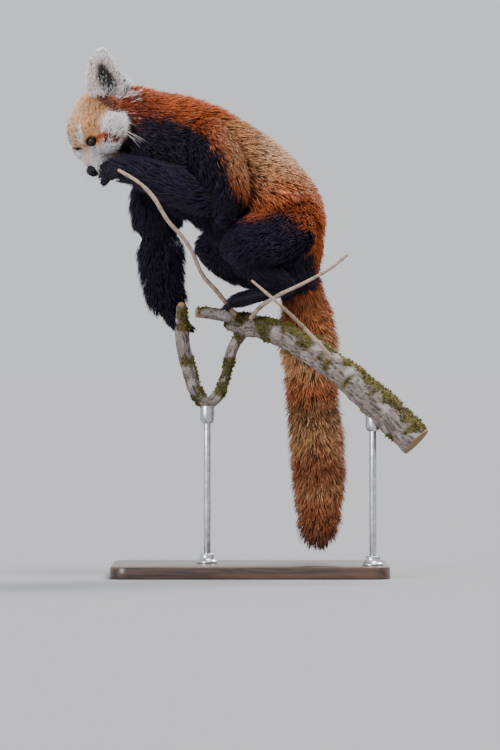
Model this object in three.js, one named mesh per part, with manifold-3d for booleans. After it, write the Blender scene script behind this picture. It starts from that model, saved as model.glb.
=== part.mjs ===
// A red panda crouched on a cut length of branch, one forepaw at its mouth and its tail hanging,
// as a life-size museum model on a plain display stand.
// Millimetres. +Z is up, the head points to -X and the animal's left side to -Y.
// The origin is the centre of the stand's underside.
import * as THREE from "three";
import { mergeVertices } from "three/addons/utils/BufferGeometryUtils.js";
import Module from "manifold-3d";

const wasm = await Module();
wasm.setup();

// Sizes that the rest is placed from.
const gap = 0.3; // between two pieces that touch
const coreShare = 0.5; // how far a core reaches from the skin to the coat's tips

const baseLength = 400;
const baseWidth = 270;
const baseHeight = 18;
const baseCentreX = 0;
const rodRadius = 5;

const V = (x, y, z) => new THREE.Vector3(x, y, z);
const mix = (a, b, t) => a + (b - a) * t;
const clamp = (x, a, b) => Math.min(b, Math.max(a, x));
const TAU = Math.PI * 2;

// A repeatable run of numbers between 0 and 1.
function numbers(seed) {
  let s = seed >>> 0;
  return () => {
    s = (Math.imul(s, 1664525) + 1013904223) >>> 0;
    return s / 4294967296;
  };
}

// The points of a geometry, joined where they meet, with its faces.
function joined(geometry) {
  const g = geometry.clone();
  g.deleteAttribute("normal");
  g.deleteAttribute("uv");
  return mergeVertices(g, 1e-4);
}

// A closed solid from a joined geometry, faces turned outwards.
function solid(geometry) {
  const g = geometry.getAttribute("normal") ? joined(geometry) : mergeVertices(geometry, 1e-5);
  const p = g.attributes.position.array;
  const tri = new Uint32Array(g.index.array);
  let volume = 0;
  for (let i = 0; i < tri.length; i += 3) {
    const [a, b, c] = [tri[i] * 3, tri[i + 1] * 3, tri[i + 2] * 3];
    volume +=
      p[a] * (p[b + 1] * p[c + 2] - p[b + 2] * p[c + 1]) -
      p[a + 1] * (p[b] * p[c + 2] - p[b + 2] * p[c]) +
      p[a + 2] * (p[b] * p[c + 1] - p[b + 1] * p[c]);
  }
  if (volume < 0)
    for (let i = 0; i < tri.length; i += 3) [tri[i + 1], tri[i + 2]] = [tri[i + 2], tri[i + 1]];
  return new wasm.Manifold(new wasm.Mesh({ numProp: 3, vertProperties: p, triVerts: tri }));
}

// Moves each point of a unit geometry to where place() puts it.
function shaped(geometry, place) {
  const g = joined(geometry);
  const p = g.attributes.position;
  const q = V(0, 0, 0);
  for (let i = 0; i < p.count; i++) {
    q.fromBufferAttribute(p, i);
    const r = place(q);
    p.setXYZ(i, r.x, r.y, r.z);
  }
  return solid(g);
}

const union = (parts) => parts.reduce((a, b) => a.add(b));

// A piece together with the space within a gap of it.
const around = (s) => union([0, 1, 2].flatMap((i) => [-gap, gap].map((d) => s.translate([0, 1, 2].map((k) => (k === i ? d : 0))))));

// Only the largest closed surface.
function largest(s) {
  const bodies = s.decompose();
  if (bodies.length < 2) return s;
  return bodies.reduce((a, b) => (a.volume() > b.volume() ? a : b));
}

function ellipsoid(centre, radii, axes, around = 12, tall = 8, grow = 0) {
  return shaped(new THREE.SphereGeometry(1, around, tall), (q) =>
    centre
      .clone()
      .addScaledVector(axes[0], q.x * (radii[0] + grow))
      .addScaledVector(axes[1], q.z * (radii[1] + grow))
      .addScaledVector(axes[2], q.y * (radii[2] + grow)),
  );
}

// One flat lock along at(s), s from its sunk root to its tip at 1: widest low down, then thinning to a point.
function lockAlong(at, outOf, width, thick, grow = 0) {
  const places = [-0.12, 0.36, 0.72, 1];
  const widths = [0.7, 1, 0.74, 0];
  const depths = [1, 0.9, 0.55, 0];
  const rings = places.map((s) => {
    const along = at(s + 0.02).sub(at(s - 0.02)).normalize();
    const across = V(0, 0, 0).crossVectors(along, outOf(s)).normalize();
    return { point: at(s), along, across, out: V(0, 0, 0).crossVectors(across, along) };
  });
  return shaped(new THREE.ConeGeometry(1, 1, 3, 3), (q) => {
    const k = Math.round((q.y + 0.5) * 3);
    const f = rings[k];
    if (k === 3) return f.point.clone().addScaledVector(f.along, grow * 2);
    const ring = 1 - k / 3;
    const back = k === 0 ? -grow : 0;
    return f.point
      .clone()
      .addScaledVector(f.along, back)
      .addScaledVector(f.across, (q.x / ring / 0.866) * ((width / 2) * widths[k] + grow * 7))
      .addScaledVector(f.out, (q.z / ring - 0.25) * (thick * depths[k] + grow * 1.7));
  });
}

// A limb or trunk: rows are stations of x, y, z, the radius up and down, and the radius to the sides.
class Form {
  constructor(rows, side = V(0, 1, 0)) {
    this.rows = rows;
    this.last = rows.length - 1;
    this.side = side;
    this.curve = new THREE.CatmullRomCurve3(
      rows.map((r) => V(r[0], r[1], r[2])),
      false,
      "centripetal",
    );
    this.radii = new THREE.CatmullRomCurve3(
      rows.map((r) => V(r[3], r[4], 0)),
      false,
      "catmullrom",
      0.5,
    );
  }
  // Centre, directions and radii at station t, which may run past either end.
  frame(t) {
    const u = clamp(t / this.last, 0, 1);
    const centre = this.curve.getPoint(u);
    const along = this.curve.getTangent(u).normalize();
    const past = t - u * this.last;
    const ahead = this.curve.getPoint(clamp(u + 0.01, 0, 1));
    const step = ahead.distanceTo(this.curve.getPoint(clamp(u - 0.01, 0, 1)));
    centre.addScaledVector(along, (past * step) / (0.02 * this.last) / (u > 0 && u < 1 ? 1 : 0.5));
    const lateral = this.side.clone().addScaledVector(along, -this.side.dot(along)).normalize();
    const up = V(0, 0, 0).crossVectors(along, lateral);
    const r = this.radii.getPoint(u);
    const speed = step / (0.02 * this.last) / (u > 0 && u < 1 ? 1 : 0.5);
    return { centre, along, lateral, up, a: r.x, b: r.y, speed };
  }
  // A point at angle w round station t, raised over the form by h; 0 is up, a quarter turn is towards side.
  point(t, w, h = 0, scale = 1, shift = 0) {
    const f = this.frame(t);
    return f.centre
      .addScaledVector(f.along, shift)
      .addScaledVector(f.up, Math.cos(w) * Math.max(0, f.a + h) * scale)
      .addScaledVector(f.lateral, Math.sin(w) * Math.max(0, f.b + h) * scale);
  }
  // Whether a point lies in the form, raised by h.
  holds(p, h = 0) {
    this.samples ??= Array.from({ length: this.last * 5 + 1 }, (_, i) => this.frame(i / 5));
    return this.samples.some((f) => {
      const d = p.clone().sub(f.centre);
      const reach = Math.min(f.a, f.b) * 0.85 + h;
      const past = f === this.samples[0] || f === this.samples[this.samples.length - 1] ? reach : f.speed * 0.12;
      return Math.hypot(d.dot(f.up) / (f.a + h), d.dot(f.lateral) / (f.b + h), (d.dot(f.along) / past) * 0.7) < 1;
    });
  }
  // A lock rooted at station t and angle w, which rises out of the core and lies along the form.
  lock({ t, w, length, width, thick, core, drift, tip }, grow = 0) {
    const speed = this.frame(t).speed;
    const at = (s) =>
      this.point(
        t + (s * length) / speed,
        w + drift * s * s,
        -core + mix(-thick * 1.6, core + tip, 1 - Math.max(0, 1 - (s + 0.12) / 1.12) ** 1.5),
      );
    const outOf = (s) => at(s).sub(this.frame(t + (s * length) / speed).centre);
    return lockAlong(at, outOf, width, thick, grow);
  }
  // Rows of locks over the form, each row turned by half a step against the last.
  coat({ from, to, rows, per, core, length, width, thick, rise = 0, clear, seed }) {
    const next = numbers(seed);
    const locks = [];
    for (let r = 0; r < rows; r++)
      for (let i = 0; i < per; i++) {
        const vary = () => mix(0.85, 1.15, next());
        const t = mix(from, to, rows === 1 ? 0 : r / (rows - 1)) + (next() - 0.5) * 0.2 * ((to - from) / rows);
        const w = (TAU * (i + (r % 2) * 0.5 + 0.25 + (next() - 0.5) * 0.3)) / per;
        const o = {
          t,
          w,
          core,
          thick,
          length: length * vary(),
          width: width * vary(),
          drift: (next() - 0.5) * 0.22,
          tip: rise + (next() - 0.5) * 2,
        };
        const speed = this.frame(t).speed;
        const free = [0.05, 0.3, 0.5, 0.7, 0.85, 1].map((s) => {
          const half = (0.42 * o.width * (1 - 0.5 * s)) / this.frame(t).b;
          return [-half, 0, half].every((d) => {
            const p = this.point(t + (s * o.length) / speed, w + d + o.drift * s * s, -core + core * s);
            return !clear(p);
          });
        });
        const until = free.indexOf(false);
        if (until >= 0 && until < 4) continue;
        if (until >= 4) o.length *= until === 4 ? 0.6 : 0.78;
        locks.push(o);
      }
    return locks;
  }
  // The form's closed solid between two stations; each end is round, or flat and cut back by half a gap.
  body({ from = 0, to = this.last, around = 20, steps = 8, round = [true, true], h = 0, grow = 0, turn = 0 }) {
    const rings = [];
    const dome = (t, s) => {
      const f = this.frame(t);
      const depth = Math.min(f.a, f.b) + h;
      const full = depth * 0.85 + grow;
      return [
        { t, scale: 0, shift: s * full },
        { t, scale: 0.5, shift: s * full * 0.87 },
        { t, scale: 0.86, shift: s * full * 0.5 },
      ];
    };
    const flat = (t, s) => [{ t, scale: 0, shift: s * (grow - gap / 2) }];
    rings.push(...(round[0] ? dome(from, -1) : flat(from, -1)));
    for (let i = 0; i <= steps; i++) {
      let shift = 0;
      if (i === 0 && !round[0]) shift = -(grow - gap / 2);
      if (i === steps && !round[1]) shift = grow - gap / 2;
      rings.push({ t: mix(from, to, i / steps), scale: 1, shift });
    }
    rings.push(...(round[1] ? dome(to, 1) : flat(to, 1)).reverse());
    const bands = rings.length - 1;
    return shaped(new THREE.SphereGeometry(1, around, bands), (q) => {
      const k = Math.round((Math.acos(clamp(q.y, -1, 1)) / Math.PI) * bands);
      const ring = rings[k];
      if (ring.scale === 0) return this.point(ring.t, 0, 0, 0, ring.shift);
      return this.point(ring.t, Math.atan2(q.z, q.x) + turn, h + grow, ring.scale, ring.shift);
    });
  }
}

// The whole line of the back, from inside the head to the tip of the tail, out to the coat's tips.
const spine = new Form([
  [-205, -20, 662, 46, 44],
  [-178, -13, 657, 57, 54],
  [-145, -5, 639, 73, 70],
  [-113, -1, 623, 83, 80],
  [-80, 0, 607, 88, 84],
  [-46, 0, 588, 87, 84],
  [-14, 0, 565, 89, 84],
  [17, 2, 536, 87, 86],
  [43, 6, 502, 79, 84],
  [60, 10, 468, 55, 66],
  [70, 15, 438, 35, 40],
  [77, 21, 412, 34, 34],
  [82, 30, 378, 40, 38],
  [85, 34, 342, 43, 41],
  [88, 34, 300, 40, 38],
  [91, 32, 255, 39, 37],
  [95, 30, 215, 40, 38],
  [98, 29, 180, 40, 38],
  [99.5, 28, 145, 37, 35],
  [100, 28, 110, 31, 30],
  [100, 28, 78, 22, 21],
  [99, 28, 54, 9, 9],
]);
const stationNeck = 2;
const stationFold = 5.6;
const stationRump = 10.2;
const stationTailA = 13.4;
const stationTailB = 16.4;

// Legs. Each row is a station from the body outwards.
const legs = {
  upper_arm_left: [
    [-72, -40, 632, 44, 38],
    [-52, -60, 600, 47, 38],
    [-40, -72, 565, 44, 34],
    [-36, -77, 540, 36, 31],
  ],
  forearm_left: [
    [-30, -80, 531, 31, 28],
    [-62, -84, 545, 31, 27],
    [-95, -84, 558, 29, 26],
    [-130, -80, 571, 25, 23],
    [-158, -75, 581, 21, 20],
    [-176, -71, 586, 19, 18],
  ],
  upper_arm_right: [
    [-108, 36, 622, 46, 38],
    [-124, 48, 580, 46, 36],
    [-133, 52, 540, 42, 34],
    [-136, 53, 512, 37, 32],
  ],
  forearm_right: [
    [-134, 52, 506, 36, 32],
    [-131, 49, 478, 34, 30],
    [-129, 46, 446, 31, 27],
    [-126, 42, 420, 28, 24],
    [-121, 38, 402, 26, 22],
  ],
  thigh_left: [
    [62, -38, 506, 54, 38],
    [36, -60, 495, 51, 37],
    [6, -74, 482, 42, 34],
    [-12, -79, 468, 33, 30],
  ],
  shank_left: [
    [-12, -77, 458, 29, 26],
    [16, -66, 444, 26, 22],
    [40, -54, 430, 20, 17],
    [55, -46, 419, 16, 14],
  ],
  thigh_right: [
    [62, 46, 506, 54, 38],
    [26, 66, 494, 50, 36],
    [-22, 78, 482, 40, 33],
    [-54, 80, 474, 31, 29],
  ],
  shank_right: [
    [-54, 78, 464, 28, 26],
    [-20, 68, 446, 25, 22],
    [12, 56, 430, 19, 17],
    [32, 46, 418, 15, 14],
  ],
};

// Perch: a mossy bough, a thin branch under the toes, a V-shaped branch whose stub the forepaw holds, twigs.
const perchForms = {
  perch_bough: [
    [-24, 7, 367, 15, 15],
    [-8, 4, 364, 18, 17],
    [14, -8, 360, 17, 17],
    [40, -24, 352, 19, 18],
    [80, -46, 331, 20, 20],
    [123, -66, 302, 21, 21],
    [174, -85, 258, 24, 24],
    [222, -100, 211, 25, 25],
    [238, -104, 195, 25, 25],
  ],
  perch_toe_branch: [
    [-14, -2, 370, 10, 9],
    [-36, -14, 377, 9.5, 9],
    [-58, -21, 380, 9, 8.5],
    [-78, -25, 381, 8, 8],
  ],
  perch_v_arm: [
    [-12, 5, 352, 9.5, 9.5],
    [-24, 5, 332, 9, 9],
    [-33, 5, 298, 8.5, 8.5],
    [-44, 5, 266, 8.5, 8.5],
    [-62, 5, 250, 9.5, 9.5],
    [-78, 5, 266, 10.5, 10.5],
    [-88, 5, 298, 11.5, 11.5],
    [-96, 6, 330, 11.5, 11.5],
    [-99, 7, 362, 10.5, 10.5],
    [-99, 8, 392, 7, 7],
  ],
  perch_twig_long: [
    [-22, -14, 378, 4, 4],
    [-34, -26, 394, 3.8, 3.8],
    [-50, -44, 414, 3.6, 3.6],
    [-67, -62, 433, 3.5, 3.5],
    [-86, -86, 473, 3.3, 3.3],
    [-99, -98, 491, 3.3, 3.3],
    [-117, -110, 511, 3.1, 3.1],
    [-139, -116, 546, 3.4, 3.4],
    [-158, -114, 565, 2.9, 2.9],
    [-187, -108, 583, 2.6, 2.6],
  ],
  perch_twig_rise: [
    [2, -24, 374, 4, 4],
    [14, -44, 388, 3.4, 3.4],
    [40, -72, 405, 3.2, 3.2],
    [76, -88, 422, 2.8, 2.8],
    [116, -96, 444, 2.4, 2.4],
    [138, -100, 462, 2, 2],
  ],
  perch_twig_cross: [
    [120, -80, 310, 3.4, 3.4],
    [104, -96, 330, 3.2, 3.2],
    [60, -112, 375, 2.8, 2.8],
    [30, -116, 402, 2.5, 2.5],
    [3, -118, 425, 2.2, 2.2],
  ],
};
const stationVBottom = 4;

// Head. Its own axes are forward, left and up; lengths are from the middle of the brain case.
const headCentre = V(-217.5, -25, 652.5);
const headForward = V(-0.43, -0.33, -0.845).normalize();
const headUp = V(-0.764, -0.367, 0.526);
headUp.addScaledVector(headForward, -headUp.dot(headForward)).normalize();
const headLeft = V(0, 0, 0).crossVectors(headUp, headForward);
const inHead = (f, l, u) =>
  headCentre
    .clone()
    .addScaledVector(headForward, f)
    .addScaledVector(headLeft, l)
    .addScaledVector(headUp, u);
const turnedToHead = (f, l, u) => inHead(f, l, u).sub(headCentre);
const headAxes = [headForward, headLeft, headUp];

// Rounded masses of the head, each with its centre and radii, blended into one another.
const masses = [
  { c: [-8, 0, 4], r: [50, 47, 43] }, // brain case
  { c: [14, 0, 16], r: [31, 33, 26] }, // forehead
  { c: [30, 15, 15], r: [15, 14, 14] }, // brows
  { c: [30, -15, 15], r: [15, 14, 14] },
  { c: [8, 34, -11], r: [31, 29, 30] }, // cheeks
  { c: [8, -34, -11], r: [31, 29, 30] },
  { c: [26, 35, -9], r: [21, 18, 19] }, // cheekbones
  { c: [26, -35, -9], r: [21, 18, 19] },
  { c: [38, 0, -11], r: [27, 15, 15] }, // bridge of the muzzle
  { c: [50, 9, -26], r: [17, 12, 12] }, // whisker pads
  { c: [50, -9, -26], r: [17, 12, 12] },
  { c: [40, 0, -42], r: [25, 14, 10] }, // lower jaw
  { c: [10, 0, -34], r: [34, 27, 20] }, // throat
];
const massBlend = 9;
const rayStart = [8, 0, -8];

function massDistance(p, m) {
  const q = [p[0] - m.c[0], p[1] - m.c[1], p[2] - m.c[2]];
  const k0 = Math.hypot(q[0] / m.r[0], q[1] / m.r[1], q[2] / m.r[2]);
  const k1 = Math.hypot(q[0] / m.r[0] ** 2, q[1] / m.r[1] ** 2, q[2] / m.r[2] ** 2);
  return (k0 * (k0 - 1)) / k1;
}
function headDistance(p) {
  let d = Infinity;
  for (const m of masses) {
    const e = massDistance(p, m);
    if (d === Infinity) {
      d = e;
      continue;
    }
    const h = clamp(0.5 + (0.5 * (d - e)) / massBlend, 0, 1);
    d = mix(d, e, h) - massBlend * h * (1 - h);
  }
  return d;
}
// Where the head's surface lies in a direction from rayStart, in the head's own axes.
function headReach(direction, grow = 0) {
  const at = (t) => rayStart.map((s, i) => s + direction[i] * t);
  let outer = 120;
  while (outer > 10 && headDistance(at(outer)) > grow) outer -= 3;
  let [a, b] = [outer, outer + 3];
  for (let i = 0; i < 22; i++) {
    const m = (a + b) / 2;
    if (headDistance(at(m)) > grow) b = m;
    else a = m;
  }
  return at((a + b) / 2);
}
function onHead(f, l, u, raise = 0) {
  const d = [f - rayStart[0], l - rayStart[1], u - rayStart[2]];
  const n = Math.hypot(...d);
  return headReach(
    d.map((x) => x / n),
    raise,
  );
}

// Eyes sit deep in their sockets, each looking forwards and a little to its side.
const eyeRadius = 8.6;
const lidThickness = 1.6;
function eyeOf(s) {
  const look = turnedToHead(0.74, s * 0.64, 0.2).normalize();
  const spot = onHead(36, s * 23, 6);
  const centre = inHead(...spot).addScaledVector(look, -6.3);
  const across = V(0, 0, 0).crossVectors(headUp, look).normalize();
  const tall = V(0, 0, 0).crossVectors(look, across).normalize();
  return { look, centre, across, tall };
}

function headSolid(grow = 0) {
  const bias = 0.6;
  let s = shaped(new THREE.IcosahedronGeometry(1, 7), (q) => {
    const d = [q.x + bias, q.y, q.z - bias * 0.12];
    const n = Math.hypot(...d);
    return inHead(
      ...headReach(
        d.map((x) => x / n),
        grow,
      ),
    );
  });
  s = union([s, ...ruffLocks(grow)]);
  for (const side of [1, -1]) {
    const e = eyeOf(side);
    const axes = [e.across, e.tall, e.look];
    const lid = ellipsoid(
      e.centre,
      [eyeRadius + gap + lidThickness, eyeRadius + gap + lidThickness, eyeRadius + gap + lidThickness],
      axes,
      12,
      8,
      grow,
    );
    s = s.add(lid);
    if (grow > 0) continue;
    const ball = ellipsoid(e.centre, [eyeRadius, eyeRadius, eyeRadius], axes, 10, 6, gap * 2.2);
    const slit = new THREE.Shape();
    slit.moveTo(-7.2, -0.6);
    slit.quadraticCurveTo(-1, 6.6, 7, 1.4);
    slit.quadraticCurveTo(1.5, -5.6, -7.2, -0.6);
    const cut = new THREE.ExtrudeGeometry(slit, { depth: 16, bevelEnabled: false, curveSegments: 3 });
    cut.applyMatrix4(new THREE.Matrix4().makeBasis(e.across, e.tall, e.look).setPosition(e.centre));
    s = s.subtract(ball).subtract(solid(cut));
  }
  if (grow === 0) {
    const mouth = [];
    for (const [f, l, u] of [
      [26, 22, -38],
      [40, 18, -38],
      [53, 11, -38],
      [62, 0, -38],
      [53, -11, -38],
      [40, -18, -38],
      [26, -22, -38],
    ])
      mouth.push(inHead(...onHead(f, l, u, -0.6)));
    s = s.subtract(groove(mouth, 1.1, 2.6, 12));
    const lip = [];
    for (const [f, l, u] of [
      [66, 0, -30],
      [66, 0, -34],
      [64, 0, -38],
    ])
      lip.push(inHead(...onHead(f, l, u, -0.4)));
    s = s.subtract(groove(lip, 0.8, 2, 5));
  }
  return s;
}

// Locks of the ruff: each starts on a cheek or under the jaw and lies back and outwards.
const ruff = { width: 27, thick: 4, sunk: 5 };
const ruffRows = [
  { start: [24, 50, 4], end: [-14, 58, -4], lift: 7 },
  { start: [26, 46, -12], end: [-10, 60, -26], lift: 9 },
  { start: [20, 38, -28], end: [-8, 50, -50], lift: 8 },
  { start: [-2, 58, 6], end: [-36, 54, 0], lift: 8 },
  { start: [-2, 58, -14], end: [-36, 58, -26], lift: 9 },
  { start: [6, 30, -40], end: [-22, 34, -58], lift: 7 },
];
function ruffLocks(grow) {
  const next = numbers(59);
  const locks = [];
  for (const side of [1, -1])
    for (const { start, end, lift } of ruffRows) {
      const vary = (next() - 0.5) * 3;
      const at = (s) => {
        const [f, l, u] = [0, 1, 2].map((i) => mix(start[i], end[i], s));
        const low = onHead(f, side * l, u);
        const out = onHead(f, side * l, u, 10).map((x, i) => (x - low[i]) / 10);
        const raise = mix(-ruff.sunk, lift + vary, clamp((s + 0.12) / 1.12, 0, 1) ** 0.8);
        return inHead(...low.map((x, i) => x + out[i] * raise));
      };
      locks.push(lockAlong(at, (s) => at(s).sub(headCentre), ruff.width + vary, ruff.thick, grow));
    }
  return locks;
}

// A thin cutter that follows a line of points.
function groove(points, wide, deep, steps) {
  const outline = new THREE.Shape();
  outline.moveTo(-wide, 0);
  outline.lineTo(0, -deep);
  outline.lineTo(wide, 0);
  outline.lineTo(0, deep);
  outline.closePath();
  const path = new THREE.CatmullRomCurve3(points);
  return solid(new THREE.ExtrudeGeometry(outline, { extrudePath: path, steps, bevelEnabled: false }));
}

function noseSolid(grow = 0) {
  let s = ellipsoid(inHead(64, 0, -22.5), [6.8, 8.4, 6], headAxes, 8, 6, grow);
  if (grow > 0) return s;
  for (const side of [1, -1]) {
    s = s.subtract(ellipsoid(inHead(69.6, side * 3.7, -23.5), [3.4, 1.5, 2], headAxes, 6, 4));
    s = s.subtract(ellipsoid(inHead(67.2, side * 6.6, -24.3), [3, 2.2, 0.8], headAxes, 6, 4));
  }
  return s;
}

// An ear: a broad leaf-shaped cup with a rounded tip, thickest at its rim.
const earLength = 78;
const earHalfWidth = 30;
const earDepth = 13;
const earWall = 6;
function earSolid({ base, up, facing, tufts }, grow = 0) {
  const across = V(0, 0, 0).crossVectors(up, facing).normalize();
  const front = V(0, 0, 0).crossVectors(across, up).normalize();
  const rows = (wide, deep, start, end, shift) =>
    [
      [0, 0.9, 1],
      [0.18, 1, 1],
      [0.38, 0.88, 0.9],
      [0.6, 0.68, 0.74],
      [0.8, 0.44, 0.54],
      [0.94, 0.22, 0.34],
    ].map(([h, w, d]) => {
      const p = base
        .clone()
        .addScaledVector(up, mix(start, end, h))
        .addScaledVector(front, shift - 9 * h * h);
      return [p.x, p.y, p.z, deep * d, wide * w];
    });
  const outer = new Form(rows(earHalfWidth, earDepth, 0, earLength - 4, 0), across);
  const hairs = tufts.map(([high, turn, length, droop]) => {
    const root = outer.point(high * outer.last, turn, -4);
    const out = root.clone().sub(outer.frame(high * outer.last).centre).normalize();
    const at = (s) => {
      const p = root.clone().addScaledVector(out, s * length * 0.8).addScaledVector(up, (0.25 - s * droop) * s * length);
      return p.addScaledVector(front, -s * length * 0.3);
    };
    return lockAlong(at, () => front, 17, 3.4, grow);
  });
  const s = union([outer.body({ around: 12, steps: 5, grow }), ...hairs]);
  if (grow > 0) return s;
  const inner = new Form(rows(earHalfWidth - earWall, earDepth - 1.5, 9, earLength - 15, 8.5), across);
  return s.subtract(inner.body({ around: 10, steps: 4 }));
}
// Tufts at the outer foot of each ear: height along it, the way they point, length and droop.
const ears = {
  ear_left: {
    base: inHead(-24, 41, 25),
    up: V(-0.13, -0.26, 0.95).normalize(),
    facing: V(-0.35, -0.9, -0.3),
    tufts: [
      [0.06, TAU / 4 + 0.25, 44, 0.7],
      [0.24, TAU / 4, 36, 0.4],
    ],
  },
  ear_right: {
    base: inHead(-24, -42, 14),
    up: V(0.62, 0.72, 0.3).normalize(),
    facing: V(-0.55, 0.15, 0.8),
    tufts: [
      [0.14, -TAU / 4, 34, 0.5],
    ],
  },
};

// A paw: a palm, five toes side by side and a curved claw on each.
function pawForm({ from, palm, tip, back, wide, thick }) {
  const ahead = tip.clone().sub(palm).normalize();
  const across = V(0, 0, 0).crossVectors(back, ahead).normalize();
  const row = (a, b, t, high, width) => [mix(a.x, b.x, t), mix(a.y, b.y, t), mix(a.z, b.z, t), high, width];
  return new Form(
    [
      row(from, palm, 0, thick * 0.95, wide * 0.8),
      row(from, palm, 0.6, thick, wide * 0.9),
      row(palm, tip, 0, thick, wide),
      row(palm, tip, 0.5, thick * 0.8, wide * 0.96),
    ],
    across,
  );
}
function pawSolid(paw, grow = 0) {
  const { palm, tip, wide, thick, toe, curl } = paw;
  const form = pawForm(paw);
  const across = form.side;
  const ahead = tip.clone().sub(palm).normalize();
  const top = V(0, 0, 0).crossVectors(ahead, across).normalize();
  const parts = [form.body({ around: 9, steps: 2, grow })];
  for (let i = -2; i <= 2; i++) {
    const dir = ahead
      .clone()
      .addScaledVector(across, i * 0.13)
      .addScaledVector(top, -curl)
      .normalize();
    const root = palm
      .clone()
      .lerp(tip, 0.55)
      .addScaledVector(across, (i / 2) * wide * 0.74)
      .addScaledVector(top, -thick * 0.15);
    const length = toe * (1 - 0.09 * Math.abs(i - 0.3));
    const side = V(0, 0, 0).crossVectors(top, dir).normalize();
    const over = V(0, 0, 0).crossVectors(dir, side).normalize();
    const stations = [
      [0, 0.26, 0],
      [0.45, 0.3, 0],
      [0.95, 0.2, -0.04],
      [1.5, 0, -0.42],
    ];
    parts.push(
      shaped(new THREE.ConeGeometry(1, 1, 5, 3), (q) => {
        const k = Math.round((q.y + 0.5) * 3);
        const [h, r, drop] = stations[k];
        const size = k === 3 ? 0 : (r * toe + grow) / (1 - k / 3);
        return root
          .clone()
          .addScaledVector(dir, h * length + (k === 0 ? -grow : k === 3 ? grow : 0))
          .addScaledVector(over, drop * length + q.x * size)
          .addScaledVector(side, q.z * size);
      }),
    );
  }
  return union(parts);
}
const paws = {
  forepaw_left: {
    from: V(-172, -71, 586),
    palm: V(-195, -66, 587),
    tip: V(-217, -60, 578),
    back: V(0.1, -0.9, 0.4),
    wide: 18,
    thick: 13,
    toe: 14,
    curl: 0.3,
  },
  forepaw_right: {
    from: V(-120, 37, 404),
    palm: V(-112, 33, 380),
    tip: V(-98, 22, 356),
    back: V(-0.8, 0.5, -0.3),
    wide: 19,
    thick: 15,
    toe: 18,
    curl: 0.35,
  },
  hind_foot_left: {
    from: V(57, -44, 415),
    palm: V(-6, -31, 403),
    tip: V(-38, -26, 396),
    back: V(0, -0.3, 1),
    wide: 16,
    thick: 12,
    toe: 19,
    curl: 0.45,
  },
  hind_foot_right: {
    from: V(36, 44, 414),
    palm: V(-12, 32, 400),
    tip: V(-42, 22, 392),
    back: V(0, 0.3, 1),
    wide: 16,
    thick: 12,
    toe: 19,
    curl: 0.45,
  },
};

// Coats: how many rows of locks, how many round, and their length and width.
const coats = {
  neck: { core: 11, from: 1.3, to: 1.75, rows: 2, per: 8, length: 50, width: 38, thick: 3.2, rise: 3, seed: 3 },
  torso_front: { core: 12, from: 2.35, to: 4.9, rows: 4, per: 9, length: 66, width: 46, thick: 3.6, rise: 4, seed: 5 },
  torso_rear: { core: 13, from: 6.1, to: 9.5, rows: 4, per: 8, length: 70, width: 50, thick: 3.6, rise: 5, seed: 7 },
  tail_upper: { core: 12, from: 10.8, to: 12.6, rows: 3, per: 5, length: 58, width: 32, thick: 3.4, rise: 2, seed: 11 },
  tail_middle: { core: 12, from: 13.7, to: 15.7, rows: 3, per: 5, length: 60, width: 32, thick: 3.4, rise: 2, seed: 13 },
  tail_tip: { core: 12, from: 16.8, to: 19.5, rows: 4, per: 5, length: 56, width: 30, thick: 3.4, rise: 3, seed: 17 },
  upper_arm_left: { core: 7, from: 1.2, to: 2.3, rows: 2, per: 6, length: 44, width: 28, thick: 3, seed: 19 },
  upper_arm_right: { core: 7, from: 1.2, to: 2.3, rows: 2, per: 6, length: 44, width: 28, thick: 3, seed: 23 },
  forearm_left: { core: 6, from: 1.0, to: 3.2, rows: 2, per: 5, length: 50, width: 28, thick: 3, seed: 29 },
  forearm_right: { core: 6, from: 0.7, to: 2.4, rows: 2, per: 5, length: 46, width: 28, thick: 3, seed: 31 },
  thigh_left: { core: 8, from: 0.6, to: 2.4, rows: 2, per: 7, length: 52, width: 32, thick: 3.4, seed: 37 },
  thigh_right: { core: 8, from: 0.6, to: 2.4, rows: 2, per: 7, length: 52, width: 32, thick: 3.4, seed: 41 },
  shank_left: { core: 5, from: 0.9, to: 1.8, rows: 2, per: 4, length: 34, width: 22, thick: 2.8, seed: 43 },
  shank_right: { core: 5, from: 0.9, to: 1.8, rows: 2, per: 4, length: 34, width: 22, thick: 2.8, seed: 47 },
};
const legForms = Object.fromEntries(Object.entries(legs).map(([name, rows]) => [name, new Form(rows)]));
const perches = Object.entries(perchForms).map(([, rows]) => new Form(rows));
function headHolds(p, raise) {
  const d = p.clone().sub(headCentre);
  return headDistance([d.dot(headForward), d.dot(headLeft), d.dot(headUp)]) < raise;
}
function inPaw(p, raise) {
  return Object.values(pawForms).some((form) => form.holds(p, raise));
}
const madeCoats = {};
function locksOf(name, form, grow) {
  const c = coats[name];
  madeCoats[name] ??= form.coat({
    ...c,
    clear: (p) => {
      if (perches.some((f) => f.holds(p, c.thick + 1)) || headHolds(p, 3) || inPaw(p, 2)) return true;
      if (p.z < baseHeight + 4) return true;
      if (form !== spine && spine.holds(p, -c.core * 0.6)) return true;
      return Object.entries(legForms).some(([other, f]) => other !== name && f.holds(p, form === spine ? -3 : 0));
    },
  });
  return madeCoats[name].map((o) => form.lock(o, grow));
}
function legSolid(name, grow = 0) {
  const form = legForms[name];
  const core = form.body({ around: 10, steps: 3, h: -coats[name].core, grow });
  return union([core, ...locksOf(name, form, grow)]);
}
function spineSolid(name, from, to, around, steps, grow, ends = [false, false]) {
  const core = spine.body({ from, to, around, steps, round: ends, h: -coats[name].core, grow });
  return union([core, ...locksOf(name, spine, grow)]);
}
const pawForms = Object.fromEntries(Object.entries(paws).map(([name, paw]) => [name, pawForm(paw)]));
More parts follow.
